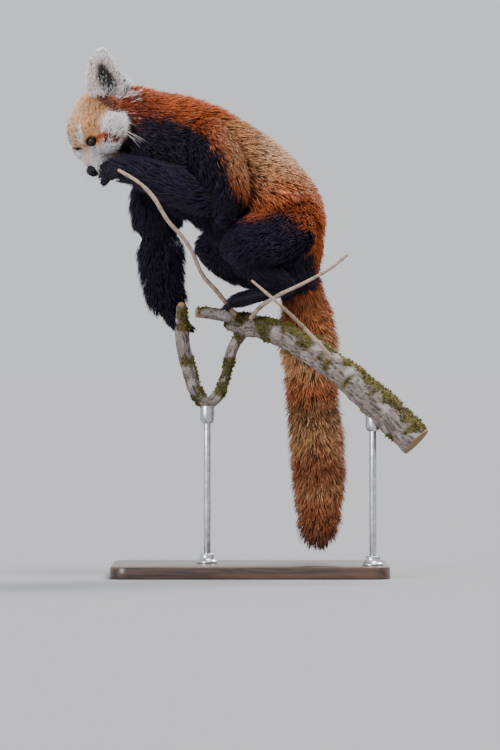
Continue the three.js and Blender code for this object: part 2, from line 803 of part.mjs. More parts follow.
function perchSolid(name, grow = 0) {
  const form = new Form(perchForms[name]);
  const thin = perchForms[name][0][3] < 5;
  const flatEnds = name === "perch_bough" || name === "perch_toe_branch";
  return form.body({
    around: thin ? 5 : 10,
    steps: thin ? 9 : name === "perch_bough" ? 11 : 4,
    round: [true, !flatEnds],
    grow,
  });
}

// Stand: a flat base with eased corners, two rods with a socket below and a saddle above.
function baseSolid() {
  const r = 26;
  const [x, y] = [baseLength / 2, baseWidth / 2];
  const outline = new THREE.Shape();
  outline.moveTo(-x + r, -y);
  outline.lineTo(x - r, -y);
  outline.absarc(x - r, -y + r, r, -Math.PI / 2, 0, false);
  outline.lineTo(x, y - r);
  outline.absarc(x - r, y - r, r, 0, Math.PI / 2, false);
  outline.lineTo(-x + r, y);
  outline.absarc(-x + r, y - r, r, Math.PI / 2, Math.PI, false);
  outline.lineTo(-x, -y + r);
  outline.absarc(-x + r, -y + r, r, Math.PI, Math.PI * 1.5, false);
  const bevel = 2.5;
  const g = new THREE.ExtrudeGeometry(outline, {
    depth: baseHeight - bevel * 2,
    bevelThickness: bevel,
    bevelSize: bevel,
    bevelOffset: -bevel,
    bevelSegments: 1,
    curveSegments: 3,
  });
  g.translate(baseCentreX, 0, bevel);
  return solid(g);
}
function turned(profile, x, y, z, segments = 10) {
  const g = new THREE.LatheGeometry(
    profile.map(([r, h]) => new THREE.Vector2(r, h)),
    segments,
  );
  g.rotateX(Math.PI / 2);
  g.translate(x, y, z);
  return solid(g);
}
const rods = [
  { name: "left", x: -62, y: 5, top: 247 },
  { name: "right", x: 176, y: -86, top: 237 },
];
const socketHeight = 14;
const saddleHeight = 26;
const rodSolid = (rod, grow = 0) =>
  turned(
    [
      [0, -grow],
      [rodRadius + grow, -grow],
      [rodRadius + grow, rod.top - baseHeight - gap],
      [0, rod.top - baseHeight - gap],
    ],
    rod.x,
    rod.y,
    baseHeight + gap,
  );
const socketSolid = (rod) =>
  turned(
    [
      [rodRadius + gap, 0],
      [15, 0],
      [15, 3.5],
      [11, 6],
      [10, socketHeight],
      [rodRadius + gap, socketHeight],
      [rodRadius + gap, 0],
    ],
    rod.x,
    rod.y,
    baseHeight + gap,
  );
const saddleSolid = (rod) =>
  turned(
    [
      [rodRadius + gap, 0],
      [8.5, 0],
      [10.5, 5],
      [10.5, saddleHeight],
      [rodRadius + gap, saddleHeight],
      [rodRadius + gap, 0],
    ],
    rod.x,
    rod.y,
    rod.top - saddleHeight,
  );

// Every piece, in the order in which each keeps its shape and cuts clear those after it.
const pieces = [];
function piece(name, color, make, cutter = make, roughness = 0.9) {
  pieces.push({ name, color, make, cutter, roughness });
}
const colours = {
  cream: "#d9c9bb",
  rufous: "#8c3d18",
  buff: "#b4723f",
  black: "#17131a",
  tan: "#a86a3c",
  bark: "#5d4a35",
  moss: "#6f6a2a",
  twig: "#b9a183",
  steel: "#9aa0a6",
  base: "#3b3a38",
};

for (const [side, s] of [
  ["left", 1],
  ["right", -1],
])
  piece(
    "eye_" + side,
    "#140d0a",
    () => {
      const e = eyeOf(s);
      return ellipsoid(e.centre, [eyeRadius, eyeRadius, eyeRadius], [e.across, e.tall, e.look], 10, 6);
    },
    undefined,
    0.1,
  );
piece("nose", "#100d10", () => noseSolid(), () => noseSolid(gap), 0.4);
piece("head", colours.cream, () => headSolid(), () => headSolid(gap));
for (const name of Object.keys(perchForms))
  if (name !== "perch_v_arm")
    piece(name, name.includes("twig") ? colours.twig : colours.bark, () => perchSolid(name), () => perchSolid(name, gap));
const vForm = new Form(perchForms.perch_v_arm);
piece(
  "perch_v_arm",
  colours.bark,
  () => vForm.body({ to: stationVBottom, around: 8, steps: 6, round: [true, false] }),
  () => vForm.body({ to: stationVBottom, around: 8, steps: 6, round: [true, false], grow: gap }),
);
piece(
  "perch_stub",
  colours.moss,
  () => vForm.body({ from: stationVBottom, around: 8, steps: 7, round: [false, true] }),
  () => vForm.body({ from: stationVBottom, around: 8, steps: 7, round: [false, true], grow: gap }),
);
piece("stand_base", colours.base, baseSolid, baseSolid, 0.6);
for (const rod of rods) {
  piece("stand_rod_" + rod.name, colours.steel, () => rodSolid(rod), () => rodSolid(rod), 0.3);
  piece("stand_socket_" + rod.name, colours.steel, () => socketSolid(rod), () => socketSolid(rod), 0.3);
  piece("stand_saddle_" + rod.name, colours.steel, () => saddleSolid(rod), () => saddleSolid(rod), 0.3);
}
const lengths = [
  ["neck", colours.rufous, 0.2, stationNeck, 14, 3],
  ["torso_front", colours.black, stationNeck, stationFold, 16, 5],
  ["torso_rear", colours.buff, stationFold, stationRump, 16, 6],
  ["tail_upper", colours.tan, stationRump, stationTailA, 9, 5],
  ["tail_middle", colours.rufous, stationTailA, stationTailB, 9, 4],
  ["tail_tip", colours.rufous, stationTailB, spine.last, 9, 5],
];
for (const [name, color, from, to, around, steps] of lengths) {
  const ends = [name === "neck", name === "tail_tip"];
  piece(
    name,
    color,
    () => spineSolid(name, from, to, around, steps, 0, ends),
    () => spineSolid(name, from, to, around, steps, gap, ends),
  );
}
for (const [name, ear] of Object.entries(ears))
  piece(name, colours.cream, () => earSolid(ear), () => earSolid(ear, gap));
for (const name of Object.keys(paws))
  piece(name, colours.black, () => pawSolid(paws[name]), () => pawSolid(paws[name], gap));
for (const name of Object.keys(legs).reverse())
  piece(name, colours.black, () => legSolid(name), () => legSolid(name, gap));

// Each piece is cut clear of those before it and becomes one named mesh.
const group = new THREE.Group();
group.name = "red_panda";
const done = [];
for (const p of pieces) {
  let s = p.make();
  const box = s.boundingBox();
  for (const other of done) {
    const apart = [0, 1, 2].some((i) => other.box.min[i] > box.max[i] || other.box.max[i] < box.min[i]);
    if (apart) continue;
    s = s.subtract(other.cutter);
    if (s.intersect(other.kept).volume() > 0) s = s.subtract(around(other.kept));
  }
  s = largest(s);
  const cutter = p.cutter();
  done.push({ cutter, kept: s, box: cutter.boundingBox() });
  const m = s.getMesh();
  const g = new THREE.BufferGeometry();
  const xyz = new Float32Array((m.vertProperties.length / m.numProp) * 3);
  for (let i = 0; i < xyz.length / 3; i++)
    xyz.set(m.vertProperties.subarray(i * m.numProp, i * m.numProp + 3), i * 3);
  g.setAttribute("position", new THREE.BufferAttribute(xyz, 3));
  g.setIndex(new THREE.BufferAttribute(new Uint32Array(m.triVerts), 1));
  g.computeVertexNormals();
  const mesh = new THREE.Mesh(
    g,
    new THREE.MeshStandardMaterial({ color: p.color, roughness: p.roughness, name: p.name }),
  );
  mesh.name = p.name;
  group.add(mesh);
}

export default group;
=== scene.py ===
"""A life-size museum model of a red panda on a cut length of mossy branch, dressed around its CAD frame.

Lengths are named in millimetres and turned into metres where a mesh is made.
The animal faces -X, its left side is towards -Y and up is +Z.
"""

import math

import bpy
import numpy as np
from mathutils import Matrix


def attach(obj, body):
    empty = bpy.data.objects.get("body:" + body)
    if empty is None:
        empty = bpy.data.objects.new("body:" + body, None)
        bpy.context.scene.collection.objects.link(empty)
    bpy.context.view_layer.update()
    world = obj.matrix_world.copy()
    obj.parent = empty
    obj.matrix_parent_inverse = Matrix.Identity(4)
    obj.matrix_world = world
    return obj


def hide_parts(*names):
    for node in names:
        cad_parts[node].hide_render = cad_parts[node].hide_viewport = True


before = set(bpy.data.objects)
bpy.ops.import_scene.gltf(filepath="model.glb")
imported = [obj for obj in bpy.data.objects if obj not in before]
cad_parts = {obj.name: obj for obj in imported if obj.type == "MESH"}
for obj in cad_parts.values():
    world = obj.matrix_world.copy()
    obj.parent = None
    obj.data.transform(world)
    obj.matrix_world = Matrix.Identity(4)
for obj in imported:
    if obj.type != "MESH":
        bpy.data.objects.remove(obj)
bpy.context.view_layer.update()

MM = 0.001


# Small helpers

def unit(v):
    v = np.asarray(v, float)
    return v / np.maximum(np.linalg.norm(v, axis=-1, keepdims=True), 1e-9)


def mix(a, b, t):
    return a + (b - a) * t


def smooth(low, high, x):
    """0 below low, 1 above high, and an even rise between them."""
    t = np.clip((x - low) / (high - low), 0, 1)
    return t * t * (3 - 2 * t)


def wander(points, size, seed):
    """A smooth wandering value from about -1 to 1 at each point, whose swells are about size across."""
    draw = np.random.default_rng(seed)
    value = np.zeros(len(points))
    for octave in (1.0, 1.9):
        for _ in range(5):
            wave = unit(draw.normal(size=3)) * (2 * np.pi * octave / (size * draw.uniform(0.8, 1.5)))
            value += np.sin(points @ wave + draw.uniform(0, 6.28)) / octave
    return value / 4.2


def between(points, a, b):
    """Distance of each point from the line between two points."""
    a, b = np.array(a, float), np.array(b, float)
    along = np.clip(((points - a) @ (b - a)) / ((b - a) @ (b - a)), 0, 1)
    return np.linalg.norm(points - a - along[:, None] * (b - a), axis=1)


def linear(hexcode):
    """A colour written as it looks, turned into light values."""
    c = np.array([int(hexcode[i:i + 2], 16) for i in (1, 3, 5)]) / 255
    return np.where(c <= 0.04045, c / 12.92, ((c + 0.055) / 1.055) ** 2.4)


# Forms of the body, repeated from the frame

class Form:
    """A trunk or limb. Each row is x, y, z, the radius up and down, and the radius to the sides."""

    def __init__(self, rows, side=(0, 1, 0)):
        self.rows = np.array(rows, float)
        self.last = len(rows) - 1
        self.side = unit(side)
        first, end = self.rows[0], self.rows[-1]
        self.padded = np.vstack([2 * first - self.rows[1], self.rows, 2 * end - self.rows[-2]])

    def _place(self, t):
        t = np.clip(t, 0, self.last)
        i = np.minimum(t.astype(int), self.last - 1)
        u = (t - i)[:, None]
        p0, p1, p2, p3 = (self.padded[i + k] for k in range(4))

        def cubic(b, c, from_b, to_c):
            c2 = -3 * b + 3 * c - 2 * from_b - to_c
            c3 = 2 * b - 2 * c + from_b + to_c
            return b + from_b * u + c2 * u ** 2 + c3 * u ** 3

        xyz = [p[:, :3] for p in (p0, p1, p2, p3)]
        d0, d1, d2 = (np.linalg.norm(xyz[k + 1] - xyz[k], axis=1, keepdims=True) ** 0.5 for k in range(3))
        a, b, c, d = xyz
        from_b = ((b - a) / d0 - (c - a) / (d0 + d1) + (c - b) / d1) * d1
        to_c = ((c - b) / d1 - (d - b) / (d1 + d2) + (d - c) / d2) * d1
        centre = cubic(b, c, from_b, to_c)
        a, b, c, d = (p[:, 3:] for p in (p0, p1, p2, p3))
        radii = cubic(b, c, (c - a) / 2, (d - b) / 2)
        return centre, radii

    def frame(self, t):
        """Centre, direction along, to the side and up, and both radii at each station t."""
        t = np.atleast_1d(np.asarray(t, float))
        centre, radii = self._place(t)
        ahead, _ = self._place(t + 0.02)
        behind, _ = self._place(t - 0.02)
        along = unit(ahead - behind)
        side = unit(self.side - along * (along @ self.side)[:, None])
        return centre, along, side, np.cross(along, side), radii[:, 0], radii[:, 1]

    def point(self, t, w, h=0.0, scale=1.0, shift=0.0):
        """A point at angle w round station t, raised by h. Angle 0 is up, a quarter turn is to the side."""
        centre, along, side, up, a, b = self.frame(t)
        w, h, scale, shift = (np.broadcast_to(np.asarray(x, float), len(a)) for x in (w, h, scale, shift))
        high = np.cos(w) * np.maximum(0, a + h) * scale
        wide = np.sin(w) * np.maximum(0, b + h) * scale
        return centre + along * shift[:, None] + up * high[:, None] + side * wide[:, None]

    def locate(self, points):
        """Nearest station, angle round it, height over the form and direction along, for each point."""
        stations = np.linspace(0, self.last, self.last * 12 + 1)
        centre, along, side, up, a, b = self.frame(stations)
        best = np.zeros(len(points), int)
        for start in range(0, len(points), 20000):
            chunk = points[start:start + 20000]
            gap = np.linalg.norm(chunk[:, None] - centre[None], axis=2) - 0.5 * (a + b)[None]
            best[start:start + 20000] = np.argmin(gap, axis=1)
        away = points - centre[best]
        high, wide = (away * up[best]).sum(1), (away * side[best]).sum(1)
        past = (away * along[best]).sum(1)
        past = np.where((best == 0) | (best == len(stations) - 1), past, past * 0.3)
        turn = np.arctan2(wide / b[best], high / a[best])
        reach = np.sqrt((high / a[best]) ** 2 + (wide / b[best]) ** 2 + (past / np.minimum(a, b)[best]) ** 2)
        size = np.sqrt((np.cos(turn) * a[best]) ** 2 + (np.sin(turn) * b[best]) ** 2)
        return stations[best], turn, (reach - 1) * size, along[best]


SPINE_ROWS = [
    (-205, -20, 662, 46, 44), (-178, -13, 657, 57, 54), (-145, -5, 639, 73, 70), (-113, -1, 623, 83, 80),
    (-80, 0, 607, 88, 84), (-46, 0, 588, 87, 84), (-14, 0, 565, 89, 84), (17, 2, 536, 87, 86),
    (43, 6, 502, 79, 84), (60, 10, 468, 55, 66), (70, 15, 438, 35, 40), (77, 21, 412, 34, 34),
    (82, 30, 378, 40, 38), (85, 34, 342, 43, 41), (88, 34, 300, 40, 38), (91, 32, 255, 39, 37),
    (95, 30, 215, 40, 38), (98, 29, 180, 40, 38), (99.5, 28, 145, 37, 35), (100, 28, 110, 31, 30),
    (100, 28, 78, 22, 21), (99, 28, 54, 9, 9),
]
LEG_ROWS = {
    "upper_arm_left": [
        (-72, -40, 632, 44, 38), (-52, -60, 600, 47, 38), (-40, -72, 565, 44, 34), (-36, -77, 540, 36, 31),
    ],
    "forearm_left": [
        (-30, -80, 531, 31, 28), (-62, -84, 545, 31, 27), (-95, -84, 558, 29, 26), (-130, -80, 571, 25, 23),
        (-158, -75, 581, 21, 20), (-176, -71, 586, 19, 18),
    ],
    "upper_arm_right": [
        (-108, 36, 622, 46, 38), (-124, 48, 580, 46, 36), (-133, 52, 540, 42, 34), (-136, 53, 512, 37, 32),
    ],
    "forearm_right": [
        (-134, 52, 506, 36, 32), (-131, 49, 478, 34, 30), (-129, 46, 446, 31, 27), (-126, 42, 420, 28, 24),
        (-121, 38, 402, 26, 22),
    ],
    "thigh_left": [
        (62, -38, 506, 54, 38), (36, -60, 495, 51, 37), (6, -74, 482, 42, 34), (-12, -79, 468, 33, 30),
    ],
    "shank_left": [
        (-12, -77, 458, 29, 26), (16, -66, 444, 26, 22), (40, -54, 430, 20, 17), (55, -46, 419, 16, 14),
    ],
    "thigh_right": [
        (62, 46, 506, 54, 38), (26, 66, 494, 50, 36), (-22, 78, 482, 40, 33), (-54, 80, 474, 31, 29),
    ],
    "shank_right": [
        (-54, 78, 464, 28, 26), (-20, 68, 446, 25, 22), (12, 56, 430, 19, 17), (32, 46, 418, 15, 14),
    ],
}
PAWS = {
    "forepaw_left": dict(
        wrist=(-172, -71, 586), palm=(-195, -66, 587), tip=(-217, -60, 578), back=(0.1, -0.9, 0.4),
        wide=18, thick=13, toe=14, curl=0.3,
    ),
    "forepaw_right": dict(
        wrist=(-120, 37, 404), palm=(-112, 33, 380), tip=(-98, 22, 356), back=(-0.8, 0.5, -0.3),
        wide=19, thick=15, toe=18, curl=0.35,
    ),
    "hind_foot_left": dict(
        wrist=(57, -44, 415), palm=(-6, -31, 403), tip=(-38, -26, 396), back=(0, -0.3, 1),
        wide=16, thick=12, toe=19, curl=0.45,
    ),
    "hind_foot_right": dict(
        wrist=(36, 44, 414), palm=(-12, 32, 400), tip=(-42, 22, 392), back=(0, 0.3, 1),
        wide=16, thick=12, toe=19, curl=0.45,
    ),
}


class Paw:
    """A palm with five toes side by side."""

    def __init__(self, wrist, palm, tip, back, wide, thick, toe, curl):
        self.wrist, self.palm, self.tip = (np.array(v, float) for v in (wrist, palm, tip))
        self.ahead = unit(self.tip - self.palm)
        self.across = unit(np.cross(back, self.ahead))
        self.top = np.cross(self.ahead, self.across)
        self.wide, self.thick, self.toe, self.curl = wide, thick, toe, curl

        def row(a, b, t, high, width):
            return (*mix(a, b, t), high, width)

        self.form = Form(
            [
                row(self.wrist, self.palm, 0, thick * 0.95, wide * 0.8),
                row(self.wrist, self.palm, 0.6, thick, wide * 0.9),
                row(self.palm, self.tip, 0, thick, wide),
                row(self.palm, self.tip, 0.5, thick * 0.8, wide * 0.96),
            ],
            self.across,
        )

    def toes(self):
        """Root, direction, upward direction and length of each toe."""
        for i in (-2, -1, 0, 1, 2):
            way = unit(self.ahead + self.across * i * 0.13 - self.top * self.curl)
            root = mix(self.palm, self.tip, 0.55) + self.across * (i / 2) * self.wide * 0.74
            side = unit(np.cross(self.top, way))
            length = self.toe * (1 - 0.09 * abs(i - 0.3))
            yield root - self.top * self.thick * 0.15, way, np.cross(way, side), side, length


spine = Form(SPINE_ROWS)
legs = {name: Form(rows) for name, rows in LEG_ROWS.items()}
paws = {name: Paw(**sizes) for name, sizes in PAWS.items()}

# The head's own axes are forward, left and up, from the middle of the brain case.
HEAD_CENTRE = np.array([-217.5, -25, 652.5])
HEAD_FORWARD = unit((-0.43, -0.33, -0.845))
_up = np.array([-0.764, -0.367, 0.526])
HEAD_UP = unit(_up - HEAD_FORWARD * (_up @ HEAD_FORWARD))
HEAD_LEFT = np.cross(HEAD_UP, HEAD_FORWARD)
HEAD_AXES = np.array([HEAD_FORWARD, HEAD_LEFT, HEAD_UP])
MASSES = [  # centre and radii of each rounded mass
    ((-8, 0, 4), (50, 47, 43)), ((14, 0, 16), (31, 33, 26)), ((30, 15, 15), (15, 14, 14)),
    ((30, -15, 15), (15, 14, 14)), ((8, 34, -11), (31, 29, 30)), ((8, -34, -11), (31, 29, 30)),
    ((26, 35, -9), (21, 18, 19)), ((26, -35, -9), (21, 18, 19)), ((38, 0, -11), (27, 15, 15)),
    ((50, 9, -26), (17, 12, 12)), ((50, -9, -26), (17, 12, 12)), ((40, 0, -42), (25, 14, 10)),
    ((10, 0, -34), (34, 27, 20)),
]
MASS_BLEND = 9
RAY_START = np.array([8, 0, -8])


def in_head(p):
    """Points given in the head's axes, in the model's axes."""
    return HEAD_CENTRE + np.asarray(p, float) @ HEAD_AXES


def to_head(p):
    return (np.asarray(p, float) - HEAD_CENTRE) @ HEAD_AXES.T


def head_distance(p):
    """Height of each point, in the head's axes, over the head."""
    total = None
    for centre, radii in MASSES:
        q, r = p - np.array(centre), np.array(radii)
        k0 = np.linalg.norm(q / r, axis=1)
        k1 = np.linalg.norm(q / r ** 2, axis=1)
        d = k0 * (k0 - 1) / np.maximum(k1, 1e-9)
        if total is None:
            total = d
            continue
        h = np.clip(0.5 + 0.5 * (total - d) / MASS_BLEND, 0, 1)
        total = mix(total, d, h) - MASS_BLEND * h * (1 - h)
    return total


def head_reach(ways, raised=0.0):
    """Where the head's surface, raised by a height, lies in each direction from RAY_START."""
    ways = unit(ways)
    reach = np.full(len(ways), 120.0)
    for _ in range(40):
        over = head_distance(RAY_START + ways * reach[:, None]) > raised
        reach = np.where(over & (reach > 10), reach - 3, reach)
    low, high = reach, reach + 3
    for _ in range(18):
        middle = (low + high) / 2
        over = head_distance(RAY_START + ways * middle[:, None]) > raised
        low, high = np.where(over, low, middle), np.where(over, middle, high)
    return RAY_START + ways * ((low + high) / 2)[:, None]


def on_head(f, l, u, raised=0.0):
    return head_reach(np.array([[f, l, u]]) - RAY_START, raised)[0]


EYE_RADIUS = 8.6
NOSE_CENTRE = np.array([64.5, 0, -24.5])


def eye_axes(side):
    """Centre of an eye and the directions across it, up it and the way it looks."""
    look = unit(np.array([0.74, side * 0.64, 0.2]) @ HEAD_AXES)
    centre = in_head(on_head(36, side * 23, 6)) - look * (6.3 if side > 0 else 8.0)
    across = unit(np.cross(HEAD_UP, look))
    return centre, across, np.cross(look, across), look


EYE_OPENING = (5.8, 4.6)  # half its width and height


# Ears: base, direction up them and the way that their hollow faces
EARS = {
    "left": dict(base=in_head((-24, 41, 25)), up=(-0.13, -0.26, 0.95), facing=(-0.35, -0.9, -0.3), flare=0.3),
    "right": dict(base=in_head((-24, -42, 14)), up=(0.62, 0.72, 0.3), facing=(-0.55, 0.15, 0.8), flare=0.0),
}
EAR_LENGTH = 75
EAR_HALF_WIDTH = 29
EAR_WIDTHS = ((0, 0.18, 0.38, 0.6, 0.8, 0.94, 1), (0.9, 1, 0.9, 0.7, 0.46, 0.23, 0.05))  # heights and shares


class Ear:
    def __init__(self, base, up, facing, flare):
        self.base, self.up, self.flare = np.array(base), unit(up), flare
        self.across = unit(np.cross(self.up, facing))
        self.front = np.cross(self.across, self.up)

    def half_width(self, h, a):
        """Half the width at height h; the outer edge, where a is above 0, flares towards its foot."""
        wide = EAR_HALF_WIDTH * np.interp(h, *EAR_WIDTHS)
        return wide * (1 + self.flare * smooth(0.8, 0.15, h) * (a > 0))

    def sheet(self, h, a, lift=0.0):
        """A point of the ear's leaf at height h from 0 to 1 and a from edge to edge, raised to its front."""
        wide = self.half_width(h, a)
        cup = 12 * (1 - h * 0.6) * (1 - np.abs(a) ** 2.2) * (wide / EAR_HALF_WIDTH)
        out = self.base + self.up * (h * (EAR_LENGTH - 3))[:, None]
        out = out + self.across * (a * wide)[:, None]
        return out + self.front * (lift + 5 - cup - 9 * h ** 2)[:, None]

    def locate(self, points):
        """Height along the ear, place across it, and depth behind its front, for each point."""
        away = points - self.base
        h = away @ self.up / (EAR_LENGTH - 3)
        a = away @ self.across
        return h, a / self.half_width(h, a), away @ self.front


ears = {name: Ear(**sizes) for name, sizes in EARS.items()}
EAR_LABELS = {"ear_" + name: ear for name, ear in ears.items()}


# Making meshes

def lone_selection(piece):
    bpy.ops.object.select_all(action="DESELECT")
    piece.select_set(True)
    bpy.context.view_layer.objects.active = piece


def read(items, what, kind=float):
    """Three values for each of a mesh's points, faces or triangles, in rows."""
    flat = np.empty(len(items) * 3, kind)
    items.foreach_get(what, flat)
    return flat.reshape(-1, 3)


def coordinates(piece):
    return read(piece.data.vertices, "co")


def normals_of(piece):
    return read(piece.data.vertices, "normal")


def even(height):
    """The same height at every station of a form."""
    return lambda t: t * 0 + height


def set_coordinates(piece, points):
    piece.data.vertices.foreach_set("co", np.asarray(points, float).ravel())
    piece.data.update()


def ball(name, place, segments=32, rings=16):
    """A sphere whose points, on a unit sphere, go where place() puts them, in millimetres."""
    bpy.ops.object.select_all(action="DESELECT")
    bpy.ops.mesh.primitive_uv_sphere_add(segments=segments, ring_count=rings, radius=1)
    piece = bpy.context.object
    piece.name = name
    set_coordinates(piece, place(coordinates(piece)) * MM)
    return piece


def tube(name, form, start=0.0, end=None, segments=32, rings=24, raised=even(0.0), rounded=(True, True)):
    """A closed solid along a form, with a round or a flat end at each side."""
    end = form.last if end is None else end
    dome = 4

    def place(q):
        k = np.rint(np.arccos(np.clip(q[:, 2], -1, 1)) / np.pi * rings)
        t = mix(start, end, np.clip((k - dome) / (rings - 2 * dome), 0, 1))
        h = raised(t)
        _, _, _, _, a, b = form.frame(t)
        full = (np.minimum(a, b) + h) * 0.9
        near = np.clip((dome - k) / dome, 0, 1) - np.clip((k - (rings - dome)) / dome, 0, 1)
        flat = np.where(near > 0, not rounded[0], not rounded[1]) & (near != 0)
        turn = np.abs(near) * np.pi / 2
        scale = np.where(flat, 1 - np.abs(near), np.cos(turn))
        shift = np.where(flat, 0, -np.sin(turn) * np.sign(near) * full)
        return form.point(t, np.arctan2(q[:, 1], q[:, 0]), h, scale, shift)

    return ball(name, place, segments, rings)


def ellipsoid(name, centre, radii, axes, segments=24, rings=14):
    return ball(name, lambda q: np.array(centre) + (q * np.array(radii)) @ np.array(axes), segments, rings)


def joined(name, parts):
    bpy.ops.object.select_all(action="DESELECT")
    for part in parts:
        part.select_set(True)
    bpy.context.view_layer.objects.active = parts[0]
    bpy.ops.object.join()
    piece = bpy.context.object
    piece.name = name
    piece.data.name = name
    return piece


def applied(piece, kind, **settings):
    lone_selection(piece)
    modifier = piece.modifiers.new(kind.lower(), kind)
    for key, value in settings.items():
        setattr(modifier, key, value)
    bpy.ops.object.modifier_apply(modifier=modifier.name)


def edited(piece, tool, faces=None, **settings):
    """Runs a mesh tool on a whole piece, or only on those of its faces that are marked."""
    lone_selection(piece)
    bpy.ops.object.mode_set(mode="EDIT")
    bpy.ops.mesh.select_all(action="SELECT" if faces is None else "DESELECT")
    if faces is not None:
        bpy.ops.object.mode_set(mode="OBJECT")
        piece.data.polygons.foreach_set("select", faces)
        bpy.ops.object.mode_set(mode="EDIT")
    tool(**settings)
    bpy.ops.object.mode_set(mode="OBJECT")


def facing_out(piece):
    edited(piece, bpy.ops.mesh.normals_make_consistent, inside=False)


def soft_shading(piece, angle=None):
    lone_selection(piece)
    if angle is None:
        bpy.ops.object.shade_smooth()
    else:
        bpy.ops.object.shade_smooth_by_angle(angle=math.radians(angle))


def finished(piece, nodes, material):
    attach(piece, "root")
    if nodes:
        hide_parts(*nodes)
    piece.data.materials.clear()
    piece.data.materials.append(material)
    return piece


def mesh_piece(name, points, sizes, corners, colours=None, patches=None):
    """A mesh from points in millimetres, each face's count of corners and all corners in one run."""
    mesh = bpy.data.meshes.new(name)
    mesh.vertices.add(len(points))
    mesh.vertices.foreach_set("co", (points * MM).ravel())
    mesh.loops.add(len(corners))
    mesh.loops.foreach_set("vertex_index", corners)
    mesh.polygons.add(len(sizes))
    starts = np.concatenate([[0], np.cumsum(sizes)[:-1]])
    mesh.polygons.foreach_set("loop_start", starts)
    mesh.polygons.foreach_set("use_smooth", np.ones(len(sizes), bool))
    mesh.update(calc_edges=True)
    if colours is not None:
        paint(mesh, colours)
    if patches is not None:
        layer = mesh.uv_layers.new(name="OFBake")
        layer.uv.foreach_set("vector", patches[corners].ravel())
    piece = bpy.data.objects.new(name, mesh)
    bpy.context.scene.collection.objects.link(piece)
    return piece


def paint(mesh, colours):
    """Keeps a colour for each point as the attribute coat_colour."""
    layer = mesh.color_attributes.new("coat_colour", "FLOAT_COLOR", "POINT")
    rgba = np.ones((len(colours), 4))
    rgba[:, :3] = np.clip(colours, 0, 1)
    layer.data.foreach_set("color", rgba.ravel())


# Skin

VOXEL = 2.6
PAW_SKIN_DEPTH = 2.5  # from the coat's outline down to the skin


def spine_depth(t):
    """How deep the skin lies under the outline along the back and tail."""
    return np.interp(t, (0, 1, 2, 4, 9, 10.4, 12, 17, 19, 21), (9, 12, 17, 20, 18, 15, 19, 19, 15, 6))


def leg_depth(form):
    return lambda t: np.interp(t / form.last, (0, 0.4, 1), (11, 9, 5))


FORMS = {"spine": (spine, spine_depth)}  # each form of the body and how deep its skin lies
FORMS.update({name: (form, leg_depth(form)) for name, form in legs.items()})
FORMS.update({name: (paw.form, even(PAW_SKIN_DEPTH)) for name, paw in paws.items()})


def head_depth(q):
    """Depth of the short coat over the head, from the muzzle back to the cheeks and neck."""
    back = smooth(40, -10, q[:, 0])
    cheek = smooth(26, 44, np.abs(q[:, 1])) * smooth(45, 15, q[:, 0])
    return 1.8 + 3.5 * back + 4.5 * cheek


def head_blank():
    def place(q):
        surface = head_reach(q + np.array([0.6, 0, -0.07]))
        way = unit(surface - RAY_START)
        return in_head(surface - way * head_depth(surface)[:, None])

    return ball("head_blank", place, 96, 64)


def ear_blank(name, ear):
    """A cupped leaf with a thickness, closed all round."""
    across, tall = 14, 22

    def place(q):
        angle = np.arctan2(q[:, 1], q[:, 0])
        spread = np.sqrt(np.clip(1 - q[:, 2] ** 2, 0, 1))
        rim = np.clip(spread, 0, 1) ** 0.8
        x, y = np.cos(angle) * rim, np.sin(angle) * rim
        h = np.clip(0.5 + 0.52 * y, -0.05, 1)
        half = np.sqrt(np.clip(1 - y ** 2, 0.0, 1))
        a = x / np.maximum(half, 0.05) * smooth(0, 0.2, half)
        wall = 2.6 * np.sign(q[:, 2]) * np.abs(q[:, 2]) ** 0.5
        return ear.sheet(h * 0.97, a * 0.93, wall - 1)

    return ball("ear_blank_" + name, place, across * 3, tall)


def blank(name, segments, rings, start=0.0, end=None):
    """The plain skin over one form."""
    form, depth = FORMS[name]
    return tube(name + "_blank", form, start, end, segments, rings, lambda t: -depth(t))


def skin_piece():
    parts = [head_blank(), blank("spine", 48, 150, 0.2, 20.6)]
    parts += [blank(name, 36, 30) for name in legs]
    for name, paw in paws.items():
        parts.append(blank(name, 28, 20))
        for i, (root, way, over, side, length) in enumerate(paw.toes()):
            centre = root + way * length * 0.42
            radii = (length * 0.62, length * 0.25, length * 0.24)
            parts.append(ellipsoid(f"{name}_toe_{i}", centre, radii, (way, side, over), 16, 12))
    parts += [ear_blank(name, ear) for name, ear in ears.items()]
    skin = joined("red_panda_skin", parts)
    facing_out(skin)
    applied(skin, "REMESH", mode="VOXEL", voxel_size=VOXEL * MM, use_smooth_shade=True)
    applied(skin, "SMOOTH", factor=0.5, iterations=5)
    finer_face(skin)
    set_coordinates(skin, face_folds(coordinates(skin) / MM) * MM)
    return skin


def finer_face(skin):
    """Halves the faces of the muzzle and round the eyes, and draws them to the head's own surface."""
    def near_face(points, from_x, paw_room):
        q = to_head(points)
        return q, (q[:, 0] > from_x) & (np.abs(head_distance(q)) < 9) & ~near_paw(points, paw_room)

    _, chosen = near_face(read(skin.data.polygons, "center") / MM, 20, 2)
    edited(skin, bpy.ops.mesh.subdivide, chosen, number_cuts=1)
    q, near = near_face(coordinates(skin) / MM, 16, 3)
    steps = np.eye(3) * 0.4
    for _ in range(3):
        p = q[near]
        height = head_distance(p) + head_depth(p)
        slope = np.stack([head_distance(p + step) - head_distance(p - step) for step in steps], axis=1)
        share = smooth(16, 26, p[:, 0])
        q[near] = p - unit(slope) * (np.clip(height, -3, 3) * share)[:, None] * 0.8
    set_coordinates(skin, in_head(q) * MM)


def near_paw(points, room):
    away = paws["forepaw_left"].form.locate(points)[2]
    return away < room


MOUTH = [(22, 24, -37), (34, 20.5, -39), (46, 15, -39), (56, 8, -37.5), (62, 0, -35.5)]


